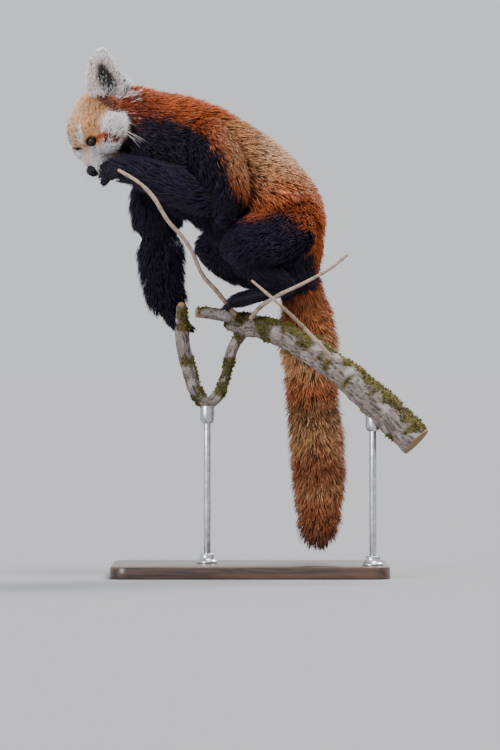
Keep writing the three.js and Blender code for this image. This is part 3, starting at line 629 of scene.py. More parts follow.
def face_folds(points):
    """Sockets for the eyes, the line of the mouth, the lip's cleft and the edge of the whisker pads."""
    for side in (1, -1):
        centre, across, tall, look = eye_axes(side)
        away = points - centre
        x, y, z = away @ across, away @ tall, away @ look
        flat = np.hypot(x / 1.3, y)
        inside = smooth(8.2, 5.0, flat) * (z > -4) * (np.linalg.norm(away, axis=1) < 16)
        points = points - look * (np.clip(z - 1.5, 0, 12) * inside)[:, None]
    q = to_head(points)
    mirrored = q * (1, 0, 1) + np.abs(q) * (0, 1, 0)
    way = unit(q - RAY_START)
    lips = [on_head(*point, -1) for point in MOUTH]
    line = np.min([between(mirrored, a, b) for a, b in zip(lips, lips[1:])], axis=0)
    sink = 2.2 * smooth(2.8, 0.6, line)
    cleft = between(q, (63, 0, -29), (61, 0, -36))
    sink += 1.3 * smooth(2.2, 0.5, cleft)
    fold = between(mirrored, on_head(50, 12, -12, -1), on_head(36, 24, -26, -1))
    sink += 1.2 * smooth(6, 1, fold)
    stop = between(mirrored, on_head(44, 9, 4, -1), on_head(34, 13, 2, -1))
    sink += 1.5 * smooth(8, 2, stop)
    return in_head(q - way * sink[:, None])


skin = skin_piece()


# Where each point of the skin belongs, and how the coat lies there

def survey(points):
    """For each point: its part, its own coordinates there, the lie of the coat and what covers it."""
    q = to_head(points)
    back = unit(q - np.array([60, 0, -16]))
    back[:, 0] -= 0.25
    d = head_distance(q)
    swing = np.arctan2(q[:, 1], q[:, 2] + 8) / (2 * np.pi) + 0.5
    swing = np.stack([swing, np.arccos(back[:, 0]) / np.pi], axis=1)
    found = [("head", d + head_depth(q), unit(back) @ HEAD_AXES, swing, d)]
    for label, ear in EAR_LABELS.items():
        h, a, _ = ear.locate(points)
        mid = ear.sheet(np.clip(h, 0, 1), np.clip(a, -1, 1))
        gap = np.linalg.norm(points - mid, axis=1) - 3.0
        gap = np.where(h < -0.02, gap + 6, gap)
        outward = ear.up + ear.across * (np.clip(a, -1.2, 1.2) * 0.75)[:, None]
        found.append((label, gap, unit(outward), np.stack([a / 3 + 0.5, h], axis=1), gap + 30))
    for label, (form, depth) in FORMS.items():
        t, w, height, along = form.locate(points)
        found.append((label, height + depth(t), along, np.stack([t, w], axis=1), height))
    labels, heights, lies, places, covers = (np.array(column) for column in zip(*found))
    best = np.argmin(heights, axis=0)
    weight = np.exp(-np.clip(heights - heights.min(axis=0), 0, 60) / 5)
    lie = unit((weight[:, :, None] * lies).sum(axis=0))
    for side in (1, -1):
        centre, _, _, look = eye_axes(side)
        away = points - centre
        flat = away - (away @ look)[:, None] * look
        share = smooth(17, 9, np.linalg.norm(away, axis=1)) * 0.9
        lie = unit(mix(lie, unit(flat), share[:, None]))
    rows = np.arange(len(points))
    covers[best, rows] = 99
    return labels[best], places[best, rows], lie, covers.min(axis=0)


skin_points = coordinates(skin) / MM
skin_label, skin_place, skin_lie, skin_cover = survey(skin_points)


# Markings, shared by the skin and the coat

WHITE = linear("#f6f0f0")
CREAM = linear("#edcba4")
TAN = linear("#d0905a")
BUFF = linear("#dea069")
RUFOUS = linear("#b84c1a")
DEEP_RED = linear("#74230d")
BROWN = linear("#5a3018")
BLACK = linear("#0b090d")
GREY = linear("#59504c")

# The lower edge of the red coat, seen from the side: x and height
BLACK_BELOW = [
    (-230, 610), (-180, 652), (-167, 668), (-138, 664), (-101, 654), (-72, 646), (-51, 617), (-38, 592),
    (-30, 572), (-22, 558), (-8, 542), (6, 518), (20, 516), (36, 525), (58, 526), (76, 512), (86, 480),
    (90, 440),
]
TAIL_RINGS = [  # height and colour from the root down
    (420, RUFOUS * 0.7), (375, RUFOUS), (350, TAN), (308, BUFF), (298, RUFOUS), (272, RUFOUS * 0.8),
    (262, BROWN * 1.3), (236, BROWN * 1.3), (228, TAN), (200, TAN * 0.9), (190, DEEP_RED * 1.4),
    (150, DEEP_RED * 1.4), (142, BUFF * 0.8), (120, RUFOUS), (108, DEEP_RED * 1.3), (75, DEEP_RED),
    (66, BLACK * 1.5), (20, BLACK),
]


def lay(colour, over, share):
    return mix(colour, over, np.clip(share, 0, 1)[:, None])


def body_markings(points, label, place):
    x, z = points[:, 0], points[:, 2]
    ragged = wander(points, 14, 5) * 4 + wander(points, 45, 6) * 5
    colour = np.tile(RUFOUS, (len(points), 1))
    t = np.where(label == "spine", place[:, 0], 7)
    # Shoulders, then the paler saddle behind the fold, then the redder rump
    colour = lay(colour, DEEP_RED, smooth(-118, -176, x) * smooth(704, 676, z + ragged))
    saddle = smooth(-22, 2, x) * smooth(540, 605, z + ragged * 2)
    colour = lay(colour, BUFF, saddle * 0.9)
    colour = lay(colour, CREAM, saddle * smooth(585, 650, z + x * 0.45 + ragged * 2) * 0.55)
    colour = lay(colour, TAN * 0.9, smooth(-70, -28, x) * smooth(0, -30, x - 5) * smooth(560, 600, z) * 0.75)
    # Painted shadow: a brown band along the crease where the front of the body folds over the rump.
    fold = np.exp(-((x + 1 + (z - 610) * 0.1) / 8) ** 2) * smooth(520, 575, z)
    colour = lay(colour, BROWN, fold * 0.6)
    edge = np.interp(x, *np.array(BLACK_BELOW).T)
    below = smooth(6, -8, z - edge + ragged)
    below = below * smooth(97, 88, x + ragged) * smooth(9.9, 9.5, t)
    near_black = smooth(34, -5, z - edge + ragged) * smooth(104, 92, x + ragged)
    colour = lay(colour, DEEP_RED, near_black * 0.55 * smooth(10.3, 9.8, t))
    colour = lay(colour, BLACK, below)
    fringe = between(points, (-196, -46, 695), (-182, -42, 698))
    return lay(colour, WHITE, smooth(12, 6, fringe + ragged * 0.4) * smooth(676, 686, z))


def tail_markings(points):
    height = points[:, 2] + wander(points, 18, 9) * 4
    heights = np.array([row[0] for row in TAIL_RINGS][::-1], float)
    colours = np.array([row[1] for row in TAIL_RINGS][::-1])
    rings = np.stack([np.interp(height, heights, colours[:, k]) for k in range(3)], axis=1)
    return mix(rings, TAN * 0.7, 0.3 * smooth(60, 90, height)[:, None])


def head_markings(points):
    q = to_head(points)
    q = q + wander(points, 9, 11)[:, None] * 0.8
    far = smooth(10, 6, between(q, (36, -15, 31), (47, -13, 20)))
    q[:, 1] = np.abs(q[:, 1])
    f, l, u = q.T
    streak = wander(points, 6, 12)
    colour = np.tile(TAN, (len(q), 1))
    colour = lay(colour, CREAM, smooth(-25, 12, f) * smooth(30, 6, l) * 0.6 + streak * 0.22)
    colour = lay(colour, RUFOUS * 0.8, smooth(-2, -22, f - streak * 4) * smooth(12, 30, l) * 0.8)
    colour = lay(colour, RUFOUS * 0.8, smooth(-16, -30, f - streak * 4))
    colour = lay(colour, DEEP_RED, smooth(30, 42, l) * smooth(-2, -20, f - streak * 4))
    colour = lay(colour, BROWN * 0.5, smooth(17, 8, between(q, (-22, 36, 26), (-30, 52, 8))) * 0.7)
    colour = lay(colour, DEEP_RED * 0.5, smooth(52, 60, l) + smooth(-14, -26, u) * smooth(20, 30, l))
    cheek = np.sqrt(((f - 10) / 29) ** 2 + ((l - 54) / 22) ** 2 + ((u - 2) / 25) ** 2) + streak * 0.16
    # Painted shade: grey shadows between the white streaks of the cheek.
    shaded = smooth(0.1, 0.7, wander(points, 7, 13))[:, None] * 0.45
    shaded_white = mix(np.tile(WHITE, (len(q), 1)), GREY * 1.4, shaded)
    colour = mix(colour, shaded_white, smooth(1.15, 0.75, cheek)[:, None])
    brow = smooth(6.5, 2.5, between(q, (37, 19.5, 27), (46, 13, 14)) + streak)
    colour = lay(colour, WHITE, np.maximum(brow * 0.9, far))
    muzzle = smooth(36, 44, f) * smooth(1, -7, u + smooth(52, 62, f) * -6)
    colour = lay(colour, WHITE, np.maximum(muzzle, smooth(16, 10, between(q, (42, 18, -10), (38, 44, -16)))))
    colour = lay(colour, CREAM, smooth(46, 58, f) * smooth(12, 6, l) * smooth(-14, -6, u) * 0.7)
    patch = between(q, (37, 35, 7), (33, 46, 2)) - 0.5
    stripe = between(q, (34, 47, -2), (28, 54, -24)) + streak * 1.5
    stripe = np.minimum(stripe, between(q, (28, 54, -24), (10, 48, -44)) - 1.5)
    colour = lay(colour, RUFOUS * 0.8, smooth(6, 3, patch))
    colour = lay(colour, DEEP_RED * 0.6, smooth(7, 2, stripe))
    throat = smooth(-38, -50, u) * smooth(48, 30, f)
    behind = smooth(-12, -28, u) * smooth(6, -14, f + streak * 3)
    under = smooth(-24, -33, u) * smooth(42, 30, f) * smooth(14, 24, l)
    colour = lay(colour, BLACK * 1.6, np.maximum(np.maximum(throat, under), behind))
    for side in (1, -1):
        centre, across, tall, _ = eye_axes(side)
        away = points - centre
        rim = np.hypot(away @ across / 1.35, away @ tall)
        share = smooth(7.2, 5.8, rim) * (np.linalg.norm(away, axis=1) < 15)
        colour = lay(colour, BLACK * 2, share * (1 if side > 0 else 0.4))
    return colour


def ear_markings(points, ear):
    h, a, front = ear.locate(points)
    hollow = front - (ear.sheet(np.clip(h, 0, 1), np.clip(a, -1, 1)) - ear.base) @ ear.front
    colour = np.tile(WHITE, (len(points), 1))
    inside = smooth(-1.5, 0.5, hollow) * smooth(0.86, 0.6, np.abs(a)) * smooth(0.86, 0.66, h)
    # Painted shade: the deep hollow of the ear is darkened to grey.
    dark = np.sqrt(((a - 0.05) / 0.52) ** 2 + ((h - 0.36 + a * 0.2) / 0.36) ** 2)
    colour = lay(colour, mix(TAN, WHITE, 0.55), inside * 0.8)
    colour = lay(colour, GREY * 0.35, inside * smooth(1.15, 0.6, dark))
    behind = smooth(0.5, -1.5, hollow) * smooth(0.95, 0.7, np.abs(a)) * smooth(0.95, 0.75, h)
    return lay(colour, DEEP_RED * 0.8, behind)


def markings(points, label, place):
    colour = body_markings(points, label, place)
    tail = smooth(10.0, 10.9, place[:, 0]) * (label == "spine")
    colour = mix(colour, tail_markings(points), tail[:, None])
    nape = (label == "spine") & (place[:, 0] < 1.5)
    share = smooth(9, 1, head_distance(to_head(points[nape])) - 3) * smooth(690, 675, points[nape, 2])
    colour[nape] = mix(colour[nape], head_markings(points[nape]), share[:, None])
    limb = np.isin(label, list(legs) + list(paws))
    low = limb & (points[:, 2] < 500) | np.isin(label, list(paws) + ["forearm_left", "forearm_right"])
    colour[low] = BLACK
    here = label == "head"
    colour[here] = head_markings(points[here])
    for name, ear in EAR_LABELS.items():
        here = label == name
        colour[here] = ear_markings(points[here], ear)
    return colour


# The coat

def cells(names, x, y):
    """Places of an eighth by a quarter of the unwrap, four to a row, upwards from x and y."""
    return {name: (x + 0.125 * (i % 4), y + 0.25 * (i // 4), 0.125, 0.25) for i, name in enumerate(names)}


ATLAS = {"spine": (0, 0, 0.5, 1), "head": (0.5, 0.75, 0.25, 0.25)}
ATLAS.update({**cells(EAR_LABELS, 0.75, 0.75), **cells(legs, 0.5, 0.25), **cells(paws, 0.5, 0)})


def unwrap(label, place):
    """Each root's place on an unwrap of the body's own parts, side by side."""
    out = np.zeros((len(label), 2))
    for name, (x, y, wide, tall) in ATLAS.items():
        here = label == name
        u, v = place[here].T
        if name in FORMS:
            u, v = v / (2 * np.pi) + 0.5, u / FORMS[name][0].last
        out[here, 0] = x + wide * np.clip(u, 0.01, 0.98)
        out[here, 1] = y + tall * np.clip(v, 0.01, 0.98)
    return out


def coat_sizes(points, label, place, cover):
    """Length, width, rise and gathering of the tufts at each root, in millimetres and radians."""
    n = len(points)
    length, width, rise = np.full(n, 17.0), np.full(n, 1.35), np.full(n, 0.5)
    here = label == "spine"
    t = place[here, 0]
    length[here] = np.interp(t, (0, 1, 2, 4, 6, 9, 10.5, 12, 18, 20, 21),
                             (20, 25, 30, 32, 28, 30, 32, 42, 44, 46, 30))
    width[here] = np.interp(t, (0, 2, 9, 10.5, 21), (1.5, 1.9, 1.9, 1.7, 1.7))
    rise[here] = np.interp(t, (0, 2, 6, 9, 10.5, 12, 21), (0.6, 0.78, 0.92, 0.9, 0.8, 1.02, 0.95))
    for name, form in legs.items():
        here = label == name
        ends = {"upper": (36, 30, 16), "forea": (38, 32, 26)}.get(name[:5], (30, 24, 16))
        length[here] = np.interp(place[here, 0] / form.last, (0, 0.5, 1), ends)
        rise[here] = 0.78 if name == "forearm_right" else 0.6
    low = (label == "spine") & (points[:, 2] < 560) & (points[:, 0] < 60)
    length[low] *= 1.5
    here = np.isin(label, list(paws))
    length[here], width[here], rise[here] = 7.5, 1.1, 0.3
    here = label == "forepaw_right"
    length[here], width[here], rise[here] = 16, 1.3, 0.45
    here = label == "head"
    q = to_head(points[here])
    side = np.abs(q[:, 1])
    ruff = smooth(34, 52, side) * smooth(30, 6, q[:, 0])
    muzzle = smooth(30, 52, q[:, 0])
    far_brow = smooth(16, 6, between(q, (36, -15, 31), (45, -15, 14)))
    length[here] = mix(mix(mix(10.5, 4.8, muzzle), 27, ruff), 9, far_brow)
    width[here] = mix(mix(1.15, 0.8, muzzle), 1.3, ruff)
    rise[here] = mix(mix(mix(0.5, 0.36, muzzle), 0.5, ruff), 0.85, far_brow)
    here = np.isin(label, list(EAR_LABELS))
    length[here], width[here], rise[here] = 8.5, 1.0, 0.42
    for name in EAR_LABELS:
        here = label == name
        a, h = (place[here, 0] - 0.5) * 3, place[here, 1]
        edge = smooth(0.6, 0.95, np.abs(a)) * smooth(1.1, 0.7, h)
        foot = smooth(0.5, 0.95, a) * smooth(0.45, 0.1, h) * (name == "ear_left")
        length[here] = mix(mix(8, 14, edge), 26, foot)
        rise[here] = mix(mix(0.5, 0.65, edge), 0.45, foot)
    length *= 1 - 0.45 * smooth(0, -6, cover)
    for side in (1, -1):
        near = smooth(21, 9, np.linalg.norm(points - eye_axes(side)[0], axis=1))
        length = mix(length, 2.6, near)
        width = mix(width, 0.7, near)
        rise = mix(rise, 0.22, near)
    return length, width, rise, np.where(length < 8, 0.3, 1.0)


def clear_of_face(points):
    """Roots that don't stand on the eyes, lids, nose or mouth."""
    keep = np.ones(len(points), bool)
    for side in (1, -1):
        centre, across, tall, look = eye_axes(side)
        away = points - centre
        keep &= ~((np.hypot(away @ across / 1.3, away @ tall) < 6.0) & (away @ look > 0))
    q = to_head(points)
    keep &= ~((q[:, 0] > 60) & (np.linalg.norm((q - NOSE_CENTRE) / (9.5, 10, 9.5), axis=1) < 1))
    return keep


def blades(name, roots, normals, side, reach, sag, pull, length, width, shades, patches, draw, rings=3,
           flatness=0.38):
    """Thin tapered blades of three sides, each bent from its root; shades are root and tip colours."""
    n = len(roots)
    stations = {2: (0, 0.5), 3: (0, 0.38, 0.74), 4: (0, 0.3, 0.6, 0.84)}[rings]
    breadth = {2: (0.7, 1.0), 3: (0.7, 1.0, 0.66), 4: (0.7, 1.0, 0.85, 0.5)}[rings]
    per = 3 * rings + 1
    points = np.empty((n, per, 3))
    colours = np.empty((n, per, 3))
    along = unit(reach - sag * 0.8)
    twist = draw.normal(0, 0.35, n)[:, None]
    across = unit(side * np.cos(twist) + np.cross(side, along) * np.sin(twist))
    raised = np.cross(across, along)
    for k, s in enumerate(stations):
        centre = roots - normals * 0.8 + (reach * s - sag * s ** 2 + pull * s ** 1.6) * length[:, None]
        for c, angle in enumerate(np.deg2rad([90, 210, 330])):
            wide = across * (math.cos(angle) * width * breadth[k] * 0.58)[:, None]
            thick = raised * (math.sin(angle) * width * breadth[k] * 0.58 * flatness)[:, None]
            points[:, 3 * k + c] = centre + wide + thick
        colours[:, 3 * k:3 * k + 3] = mix(shades[0], shades[1], s ** 0.8)[:, None]
    points[:, -1] = roots + (reach - sag + pull) * length[:, None]
    colours[:, -1] = shades[1]
    quad = [[3 * k + c, 3 * k + (c + 1) % 3, 3 * k + 3 + (c + 1) % 3, 3 * k + 3 + c]
            for k in range(rings - 1) for c in range(3)]
    last = 3 * (rings - 1)
    fan = [[last + c, last + (c + 1) % 3, per - 1] for c in range(3)] + [[2, 1, 0]]
    pattern = np.array([v for face in quad + fan for v in face])
    sizes = np.array([4] * len(quad) + [3] * len(fan))
    corners = (pattern[None] + np.arange(n)[:, None] * per).ravel()
    spot = np.zeros((per, 2))
    for k, s in enumerate(stations):
        spot[3 * k:3 * k + 3] = [((c - 1) * 0.0014, s * 0.003) for c in range(3)]
    spot[-1] = (0, 0.003)
    spread = np.clip(patches[:, None] + spot[None], 0.001, 0.999).reshape(-1, 2)
    points, colours = points.reshape(-1, 3), colours.reshape(-1, 3)
    piece = mesh_piece(name, points, np.tile(sizes, n), corners, colours, spread)
    print(name, n, "blades", n * (6 * (rings - 1) + 4), "triangles")
    return piece


def gathered(ends, roots, size, seed):
    """The middle of the ends in each clump, about size across."""
    jitter = np.stack([wander(roots, size * 2, seed + k) for k in range(3)], axis=1) * size * 0.4
    cell = np.floor((roots + jitter) / size).astype(int)
    _, group = np.unique(cell, axis=0, return_inverse=True)
    group = group.ravel()
    count = np.bincount(group)
    return np.stack([np.bincount(group, ends[:, k]) / count for k in range(3)], axis=1)[group]


def coat_piece(name, roots, normals, lies, label, place, cover, seed, rings=3):
    """Tufts that lie along the body and gather in clumps."""
    draw = np.random.default_rng(seed)
    n = len(roots)
    length, width, rise, clump = coat_sizes(roots, label, place, cover)
    length = length * draw.uniform(0.7, 1.15, n)
    stray = draw.random(n) < 0.06
    length = np.where(stray, length * 1.12, length)
    width = width * draw.uniform(0.7, 1.2, n) * np.where(stray, 0.6, 1)
    lie = unit(lies - normals * (lies * normals).sum(axis=1, keepdims=True))
    side = np.cross(lie, normals)
    wool = np.where(label == "spine", np.interp(place[:, 0], (2, 5, 10, 12), (0, 0.12, 0.12, 0.06)), 0)
    sway = wander(roots, 30, 31) * 0.26 + wander(roots, 11, 32) * (0.16 + wool)
    sway = sway + draw.normal(0, 0.11 + wool, n)
    lie = unit(lie * np.cos(sway)[:, None] + side * np.sin(sway)[:, None])
    side = np.cross(lie, normals)
    up = rise * (1 + wander(roots, 14, 33) * 0.22 + draw.normal(0, 0.13, n)) + np.where(stray, 0.12, 0)
    reach = lie * np.cos(up)[:, None] + normals * np.sin(up)[:, None]
    sag = normals * (np.sin(up) * 0.42)[:, None] + side * draw.normal(0, 0.1, n)[:, None]
    ends = roots + (reach - sag) * length[:, None]
    pull = (gathered(ends, roots, 7.5, 41) - ends) / length[:, None] * (0.42 * clump)[:, None]
    loose = length * np.where(np.isin(label, list(EAR_LABELS)), 0.35, 1)
    shift = lie * (draw.uniform(-0.5, 0.35, n) * loose)[:, None]
    shift = shift + side * (draw.normal(0, 0.1, n) * loose)[:, None]
    base = markings(roots + shift, label, place)
    for ear_label in EAR_LABELS:
        here = label == ear_label
        pale_share = 0.05 + 0.45 * smooth(0.34, 0.12, place[here, 1])
        chosen = draw.random(here.sum()) < pale_share
        base[here] = np.where(chosen[:, None], mix(base[here], WHITE * 0.8, 0.8), base[here])
    bright = 1 + wander(roots, 8, 51) * 0.16 + wander(roots, 30, 52) * 0.08
    bright = (bright + draw.normal(0, 0.16, n))[:, None]
    dark = smooth(0.09, 0.03, base.sum(axis=1))[:, None]
    # Painted light and sheen: tips are paler than the hair's colour, and dark tips get a purple painted
    # sheen, brighter on a few random strands (lit).
    lit = 1 + 3.5 * draw.random(n)[:, None] ** 4
    pale = mix(mix(base, base ** 0.72, 0.6), base * 1.6 + np.array((0.007, 0.0045, 0.014)) * lit, dark)
    # Painted shade: each tuft is darkened towards its root, as shade deep in the coat, and less so on the
    # ears.
    root = base * mix(0.3, 0.45, dark)
    of_ear = np.isin(label, list(EAR_LABELS))[:, None]
    root = mix(root, base * 0.62, of_ear)
    bright = mix(bright, 1 + (bright - 1) * 0.5, of_ear)
    shades = (root * bright, pale * bright)
    patches = unwrap(label, place)
    return blades(name, roots, normals, side, reach, sag, pull, length, width, shades, patches, draw, rings)

def sprinkled(piece, points, count, draw, chosen=None, cover=None):
    """Random spots over a mesh, by area and by how far it is covered: three corners and their shares."""
    piece.data.calc_loop_triangles()
    tri = read(piece.data.loop_triangles, "vertices", np.int32)
    if chosen is not None:
        tri = tri[chosen[tri[:, 0]]]
    a, b, c = (points[tri[:, k]] for k in range(3))
    weight = np.linalg.norm(np.cross(b - a, c - a), axis=1)
    if cover is not None:
        weight = weight * cover[tri].mean(axis=1) ** 1.5
    pick = draw.choice(len(tri), count, p=weight / weight.sum())
    r, s = np.sqrt(draw.random(count)), draw.random(count)
    return tri[pick], np.stack([1 - r, r * (1 - s), r * s], axis=1)[:, :, None]


def scatter(chosen, count, seed):
    """Roots spread by area over the skin's chosen faces."""
    corner, share = sprinkled(skin, skin_points, count, np.random.default_rng(seed), chosen)
    roots, normals, lies = ((v[corner] * share).sum(axis=1) for v in (skin_points, skin_normal, skin_lie))
    first = corner[:, 0]
    return roots, unit(normals), unit(lies), skin_label[first], skin_place[first], skin_cover[first]


def trunk(start, end):
    """The skin of the back and tail from one station to another."""
    return (skin_label == "spine") & (skin_place[:, 0] >= start) & (skin_place[:, 0] < end)


skin_normal = normals_of(skin)
# The skin takes the markings darkened, as painted shade under the coat.
paint(skin.data, markings(skin_points, skin_label, skin_place) * 0.55)

fore_names = [name for name in legs if "arm" in name]
hind_names = [name for name in legs if "arm" not in name]
of_head = skin_label == "head"
face = of_head & (to_head(skin_points)[:, 0] > 24)
COATS = [  # name, chosen skin, tufts, rings, nodes, slot
    ("coat_face", face, 14000, 2, ["head"], "face_coat"),
    ("coat_cheeks", of_head & ~face, 13000, 2, ["head"], "face_coat"),
    ("coat_ears", np.isin(skin_label, list(EAR_LABELS)), 9000, 2, list(EAR_LABELS), "face_coat"),
    ("coat_neck", trunk(0, 2.6), 7500, 3, ["neck"], "back_coat"),
    ("coat_shoulders", trunk(2.6, 5.6), 9500, 3, ["torso_front"], "back_coat"),
    ("coat_back", trunk(5.6, 8.2), 9500, 3, ["torso_rear"], "back_coat"),
    ("coat_rump", trunk(8.2, 10.6), 7500, 3, ["torso_rear"], "back_coat"),
    ("coat_tail_upper", trunk(10.6, 15.5), 8000, 3, ["tail_upper", "tail_middle"], "tail_coat"),
    ("coat_tail_lower", trunk(15.5, spine.last + 1), 7500, 3, ["tail_tip"], "tail_coat"),
    ("coat_forelegs", np.isin(skin_label, fore_names), 14000, 2, fore_names, "dark_coat"),
    ("coat_hind_legs", np.isin(skin_label, hind_names), 14000, 2, hind_names, "dark_coat"),
    ("coat_paws", np.isin(skin_label, list(paws)), 6000, 2, list(paws), "dark_coat"),
]


class Finish:
    """A material, whose sockets are set by name to a value or to another node's output."""

    def __init__(self, name, values):
        self.material = bpy.data.materials.new(name)
        self.material.use_nodes = True
        self.tree = self.material.node_tree
        self.shader = self.tree.nodes["Principled BSDF"]
        self.put(self.shader, values)

    def put(self, node, values):
        for socket, value in values.items():
            if isinstance(value, bpy.types.NodeSocket):
                self.tree.links.new(value, node.inputs[socket])
            else:
                node.inputs[socket].default_value = value

    def node(self, kind, output, values, **settings):
        """Adds a node and returns one of its outputs."""
        node = self.tree.nodes.new("ShaderNode" + kind)
        for key, value in settings.items():
            setattr(node, key, value)
        self.put(node, values)
        return node.outputs[output]

    def noise(self, scale, detail, stretch=None, **more):
        place = self.node("TexCoord", "Object", {})
        if stretch is not None:
            place = self.node("Mapping", "Vector", {"Vector": place, "Scale": stretch})
        return self.node("TexNoise", "Fac", {"Vector": place, "Scale": scale, "Detail": detail, **more})

    def ramp(self, grain, *stops):
        """Colours the piece by a grain, between two places and their colours."""
        output = self.node("ValToRGB", "Color", {"Fac": grain})
        for element, (place, colour) in zip(output.node.color_ramp.elements, stops):
            element.position, element.color = place, (*colour, 1)
        self.put(self.shader, {"Base Color": output})

    def painted(self, grain, span):
        """Colours the piece by its painted points, made lighter and darker by a grain."""
        vary = self.node("MapRange", "Result", {"Value": grain, **span})
        colour = self.node("VertexColor", "Color", {}, layer_name="coat_colour")
        scaled = self.node("VectorMath", "Vector", {0: colour, "Scale": vary}, operation="SCALE")
        self.put(self.shader, {"Base Color": scaled})

    def bump(self, grain, strength, distance=0.001):
        lift = self.node("Bump", "Normal", {"Strength": strength, "Distance": distance, "Height": grain})
        self.put(self.shader, {"Normal": lift})


def coat_material(name, roughness, sheen, tint):
    made = Finish(name, {"Roughness": roughness, "Specular IOR Level": 0.18, "Sheen Weight": sheen,
                         "Sheen Roughness": 0.4, "Sheen Tint": (*tint, 1)})
    made.painted(made.noise(900, 2), {"To Min": 0.78, "To Max": 1.2})
    return made.material


pale_fur = coat_material("pale_fur", 0.6, 0.08, (1, 0.96, 0.92))
red_fur = coat_material("red_fur", 0.5, 0.05, (1, 0.8, 0.6))
dark_fur = coat_material("dark_fur", 0.4, 0.06, (0.62, 0.5, 0.85))
FURS = {"face_coat": pale_fur, "back_coat": red_fur, "tail_coat": red_fur, "dark_coat": dark_fur}

dressed = [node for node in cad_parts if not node.startswith(("perch", "stand", "eye", "nose"))]
finished(skin, dressed, red_fur)
for i, (name, chosen, count, rings, nodes_of, slot_of) in enumerate(COATS):
    found = scatter(chosen, int(count * (1)), 100 + i)
    keep = clear_of_face(found[0])
    piece = coat_piece(name, *(part[keep] for part in found), seed=200 + i, rings=rings)
    finished(piece, nodes_of, FURS[slot_of])


# Eyes, lids, nose, claws and whiskers

def plain_material(name, colour, values, bump=None, spread=120):
    """A finish whose colour drifts a little. The bump has a scale and a strength."""
    made = Finish(name, values)
    colour = np.array(colour)
    made.ramp(made.noise(spread, 4), (0.3, colour * 0.72), (0.7, np.clip(colour * 1.25, 0, 1)))
    if bump:
        scale, strength = bump
        made.bump(made.noise(scale, 5), strength)
    return made.material


def painted_material(name, values, scale, strength, distance=0.001):
    """A finish that takes its colour from the piece's own painted points, with a fine bump."""
    made = Finish(name, values)
    grain = made.noise(scale, 7, Roughness=0.65)
    made.painted(grain, {"From Min": 0.3, "From Max": 0.7, "To Min": 0.68, "To Max": 1.3})
    made.bump(grain, strength, distance)
    return made.material


eye_glass = painted_material("eye_glass", {"Roughness": 0.05, "Specular IOR Level": 0.45}, 300, 0.0)
lid_leather = plain_material(
    "lid_leather", BLACK * 1.2, {"Roughness": 0.45, "Specular IOR Level": 0.15}, bump=(1800, 0.4))
nose_leather = plain_material(
    "nose_leather", BLACK * 0.8, {"Roughness": 0.36, "Specular IOR Level": 0.25}, bump=(1500, 0.7))
claw_horn = plain_material(
    "claw_horn", linear("#6f675c"), {"Roughness": 0.35, "Coat Weight": 0.3}, spread=200)
whisker_hair = plain_material("whisker_hair", linear("#cfc8c4"), {"Roughness": 0.5})


def eye_piece(name, side):
    centre, across, tall, look = eye_axes(side)

    def place(q):
        bulge = 1 + 0.05 * smooth(0.86, 0.97, q[:, 2])
        return centre + (q * EYE_RADIUS * bulge[:, None]) @ np.array([across, tall, look])

    piece = ball(name, place, 48, 32)
    away = (coordinates(piece) / MM - centre) / EYE_RADIUS
    off = np.hypot(away @ across, away @ tall)
    front = (away @ look) > 0
    iris = linear("#3a1c0e") * 0.75
    colour = np.tile(linear("#1c1412"), (len(away), 1))
    colour = lay(colour, iris, smooth(0.74, 0.68, off) * front)
    colour = lay(colour, BLACK * 0.5, smooth(0.46, 0.38, off) * front)
    colour = lay(colour, BLACK * 0.5, (smooth(0.6, 0.68, off) * smooth(0.8, 0.72, off)) * front)
    paint(piece.data, colour)
    soft_shading(piece)
    return piece


LID_STEPS = np.array([  # height over the ball, spread, and the height from its middle where that is fixed
    (0, 0.98, np.nan), (0.7, 1.03, np.nan), (1.2, 1.14, np.nan), (1.1, 1.3, np.nan),
    (0, 1.48, 4.6), (0, 1.6, 0),
])
LID_SLANT = 0.04


def lid_piece(name, side):
    """The dark rim of both lids round one eye, from the ball's surface out under the coat."""
    centre, across, tall, look = eye_axes(side)
    outward = across * side
    half_width, half_height = EYE_OPENING
    last = len(LID_STEPS) - 1

    def place(q):
        angle = np.arctan2(q[:, 1], q[:, 0])
        k = np.rint(np.arccos(np.clip(q[:, 2], -1, 1)) / np.pi * (last + 2)).astype(int)
        over, spread, fixed = LID_STEPS[np.clip(k - 1, 0, last)].T
        x = half_width * np.cos(angle) * spread
        y = half_height * np.sin(angle) * (1 - 0.22 * np.cos(angle) ** 2) * spread - LID_SLANT * x
        z = np.sqrt(np.clip((EYE_RADIUS + over) ** 2 - x ** 2 - y ** 2, 1, None))
        z = np.where(np.isnan(fixed), z, fixed)
        return centre + outward * x[:, None] + tall * y[:, None] + look * z[:, None]

    piece = ball(name, place, 56, last + 2)
    edited(piece, bpy.ops.mesh.remove_doubles, threshold=1e-6)
    # The faces that close the ring in front of the ball and behind it come out
    caps = [len(face.vertices) == 3 for face in piece.data.polygons]
    edited(piece, bpy.ops.mesh.delete, caps, type="FACE")
    applied(piece, "SOLIDIFY", thickness=0.5 * MM, offset=-1)
    applied(piece, "SUBSURF", levels=1, render_levels=1)
    facing_out(piece)
    soft_shading(piece)
    return piece


def nose_piece():
    radii = np.array([8.4, 10.2, 9.2])

    def place(q):
        f, l, u = q.T
        out = q * radii
        out[:, 1] *= 1 + 0.16 * smooth(-0.4, 0.6, u) - 0.3 * smooth(0.1, -1, u)
        sink = 4.2 * np.exp(-(((np.abs(l) - 0.42) / 0.19) ** 2 + ((u + 0.12) / 0.26) ** 2)) * (f > 0)
        sink += 2.2 * np.exp(-(((np.abs(l) - 0.8) / 0.16) ** 2 + ((u + 0.4) / 0.13) ** 2)) * (f > -0.2)
        sink += 1.3 * np.exp(-((l / 0.09) ** 2)) * smooth(0.1, -0.5, u) * (f > 0)
        out -= unit(q) * sink[:, None]
        return in_head(out + NOSE_CENTRE)

    piece = ball("nose_pad", place, 72, 48)
    soft_shading(piece)
    return piece


